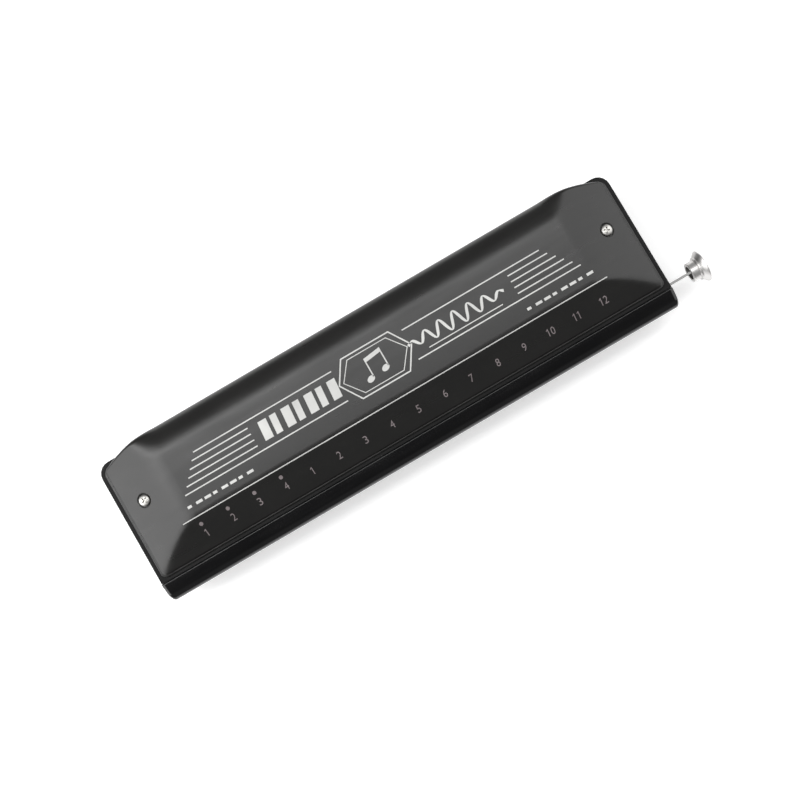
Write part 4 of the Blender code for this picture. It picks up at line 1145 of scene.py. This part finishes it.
def print_emblem():
    """A long hexagon in a double line round a plain pair of notes."""
    bm = bmesh.new()
    for wide, tall, width in EMBLEM_OUTLINES:
        shoulder = wide - EMBLEM_CORNER
        corners = ((-wide, 0), (-shoulder, tall), (shoulder, tall), (wide, 0))
        corners += ((shoulder, -tall), (-shoulder, -tall))
        path = [(x * MM, PRINT_CENTRE_Y + y * MM) for x, y in corners]
        ribbon(bm, path, width * MM, closed=True)
    long, short = NOTE_HEAD_SIZE
    for x, y in NOTE_HEADS:
        disc(bm, x * MM, PRINT_CENTRE_Y + y * MM, long * MM, short * MM, NOTE_HEAD_TILT)
    for corners in NOTE_STROKES:
        polygon(bm, [(x * MM, PRINT_CENTRE_Y + y * MM) for x, y in corners])
    print_piece("cover_emblem", bm, WHITE_INK)


def print_ornaments():
    """Plain slanted bars on the left, a wave on the right and two rows of small dashes."""
    bm = bmesh.new()
    low, high = PRINT_CENTRE_Y - BAR_HALF_HEIGHT * MM, PRINT_CENTRE_Y + BAR_HALF_HEIGHT * MM
    slant = BAR_SLANT * MM
    for index in range(BARS):
        left = (FIRST_BAR + BAR_STEP * index) * MM
        wide = BAR_WIDTHS[index % 2] * MM
        polygon(bm, [(left, low), (left + wide, low), (left + wide + slant, high), (left + slant, high)])
    path, widths = [], []
    for step in range(WAVE_STEPS + 1):
        share = step / WAVE_STEPS
        angle = 2 * math.pi * WAVE_TURNS * share
        swell = math.sin(math.pi * share) ** WAVE_SWELL_POWER
        x = (WAVE_START + WAVE_LENGTH * share) * MM
        path.append((x, PRINT_CENTRE_Y + WAVE_HEIGHT * MM * swell * math.sin(angle)))
        widths.append((WAVE_WIDTH + WAVE_WIDENING * abs(math.cos(angle))) * MM)
    ribbon(bm, path, widths)
    line(bm, *WAVE_LINE, PRINT_CENTRE_Y - WAVE_LINE_DROP * MM, FINE_LINE)
    for start in DASH_STARTS:
        for index in range(DASHES):
            left = (start + DASH_STEP * index) * MM
            long = (DASH_LONG if index % 3 else DASH_SHORT) * MM
            line(bm, left, left + long, DASH_Y, DASH_WIDTH * MM)
    print_piece("cover_ornaments", bm, WHITE_INK)


# Carried-over CAD nodes


def soften(node, material, width):
    """Rounds a CAD node's edges slightly and gives it its finish."""
    piece = NODES[node]
    piece.material_slots[0].material = material
    if not width:
        return
    weld = piece.modifiers.new("weld", "WELD")
    weld.merge_threshold = MERGE_DISTANCE
    flat = piece.modifiers.new("flat", "DECIMATE")
    flat.decimate_type = "DISSOLVE"
    flat.angle_limit = math.radians(0.5)
    bevel = piece.modifiers.new("edges", "BEVEL")
    bevel.width = width
    bevel.segments = 3
    bevel.limit_method = "ANGLE"
    bevel.angle_limit = math.radians(40)
    weighted = piece.modifiers.new("normals", "WEIGHTED_NORMAL")
    weighted.weight = 100


# Room


def make_floor():
    bm = bmesh.new()
    bmesh.ops.create_grid(bm, x_segments=1, y_segments=1, size=FLOOR_SIZE)
    floor = bare_object("studio_floor", bm)
    floor.location.z = -FLOOR_DROP
    material, tree, shader = new_finish("pale_floor")
    colour = mixed(tree, noise(tree, 12, 3.0), FLOOR_GREY, FLOOR_PALE)
    roughness = ranged(tree, noise(tree, 40, 3.0), 0.75, 0.85)
    connect(tree, shader, colour, roughness, bumped(tree, noise(tree, 900, 2.0), 0.005 * MM))
    shader.inputs["Specular IOR Level"].default_value = 0.1
    shader.inputs["Emission Color"].default_value = (1, 1, 1, 1)
    shader.inputs["Emission Strength"].default_value = FLOOR_GLOW
    floor.data.materials.append(material)


def area_light(name, azimuth, from_zenith, distance, size_x, size_y, radiance):
    """A soft box facing the harmonica, at an angle from straight up towards an azimuth from +X."""
    data = bpy.data.lights.new(name, "AREA")
    data.shape = "RECTANGLE"
    data.size, data.size_y = size_x, size_y
    data.energy = radiance * size_x * size_y * math.pi
    lamp = bpy.data.objects.new(name, data)
    lean, around = math.radians(from_zenith), math.radians(azimuth)
    toward = Vector((math.sin(lean) * math.cos(around), math.sin(lean) * math.sin(around), math.cos(lean)))
    lamp.location = toward * distance
    up = Vector((0, 1, 0)) if from_zenith < 30 else Vector((0, 0, 1))
    side = up.cross(toward).normalized()
    lamp.rotation_euler = Matrix((side, toward.cross(side), toward)).transposed().to_euler()
    lamp.visible_camera = False
    bpy.context.scene.collection.objects.link(lamp)


def make_lights():
    for light in LIGHTS:
        area_light(*light)
    world = bpy.data.worlds.new("studio")
    bpy.context.scene.world = world
    world.use_nodes = True
    tree = world.node_tree
    background = tree.nodes["Background"]
    path = tree.nodes.new("ShaderNodeLightPath")
    coordinates = tree.nodes.new("ShaderNodeTexCoord")
    axes = tree.nodes.new("ShaderNodeSeparateXYZ")
    tree.links.new(coordinates.outputs["Generated"], axes.inputs["Vector"])
    overhead = ranged(tree, axes.outputs["Z"], 0, 1, 0.8, 0.98)
    sky = mixed(tree, overhead, SKY_SIDES, SKY_OVERHEAD)
    shown = mixed(tree, path.outputs["Is Camera Ray"], sky, SKY_SHOWN)
    tree.links.new(shown, background.inputs["Color"])


def make_camera():
    data = bpy.data.cameras.new("camera")
    data.lens = CAMERA_LENS
    data.sensor_width = CAMERA_SENSOR
    data.clip_start = 0.01
    camera = bpy.data.objects.new("camera", data)
    bpy.context.scene.collection.objects.link(camera)
    lean, roll = math.radians(CAMERA_LEAN), math.radians(CAMERA_ROLL)
    behind = Vector((0, -math.sin(lean), math.cos(lean)))
    along = Vector((1, 0, 0))
    across = behind.cross(along)
    right = along * math.cos(roll) - across * math.sin(roll)
    up = along * math.sin(roll) + across * math.cos(roll)
    camera.matrix_world = Matrix.Translation(CAMERA_TARGET + behind * CAMERA_DISTANCE) @ (
        Matrix((right, up, behind)).transposed().to_4x4()
    )
    bpy.context.scene.camera = camera


bpy.context.scene.view_settings.view_transform = "Standard"
make_camera()
make_lights()
make_floor()

make_cover("upper_cover_skin", "upper_cover", 1, BOLT_HOLE)
make_cover("lower_cover_skin", "lower_cover", -1, NUT_HOLE)
make_mouthpiece()
make_fasteners()
make_button()
make_spring()
for level_name, facing in (("upper", 1), ("lower", -1)):
    make_rivets(level_name, facing)
    make_valves(level_name, facing)
    soften(f"{level_name}_reed_plate", BRASS, 0)
print_numbers()
print_stripes()
print_emblem()
print_ornaments()
soften("comb", COMB_PLASTIC, 0.3 * MM)
soften("slide", SLIDE_STEEL, 0.06 * MM)
soften("slide_front_plate", STEEL, 0.05 * MM)
soften("slide_back_plate", STEEL, 0)
soften("spring_pin", STEEL, 0)
soften("slide_bumper_left", RUBBER, 0.12 * MM)
soften("slide_bumper_right", RUBBER, 0.12 * MM)
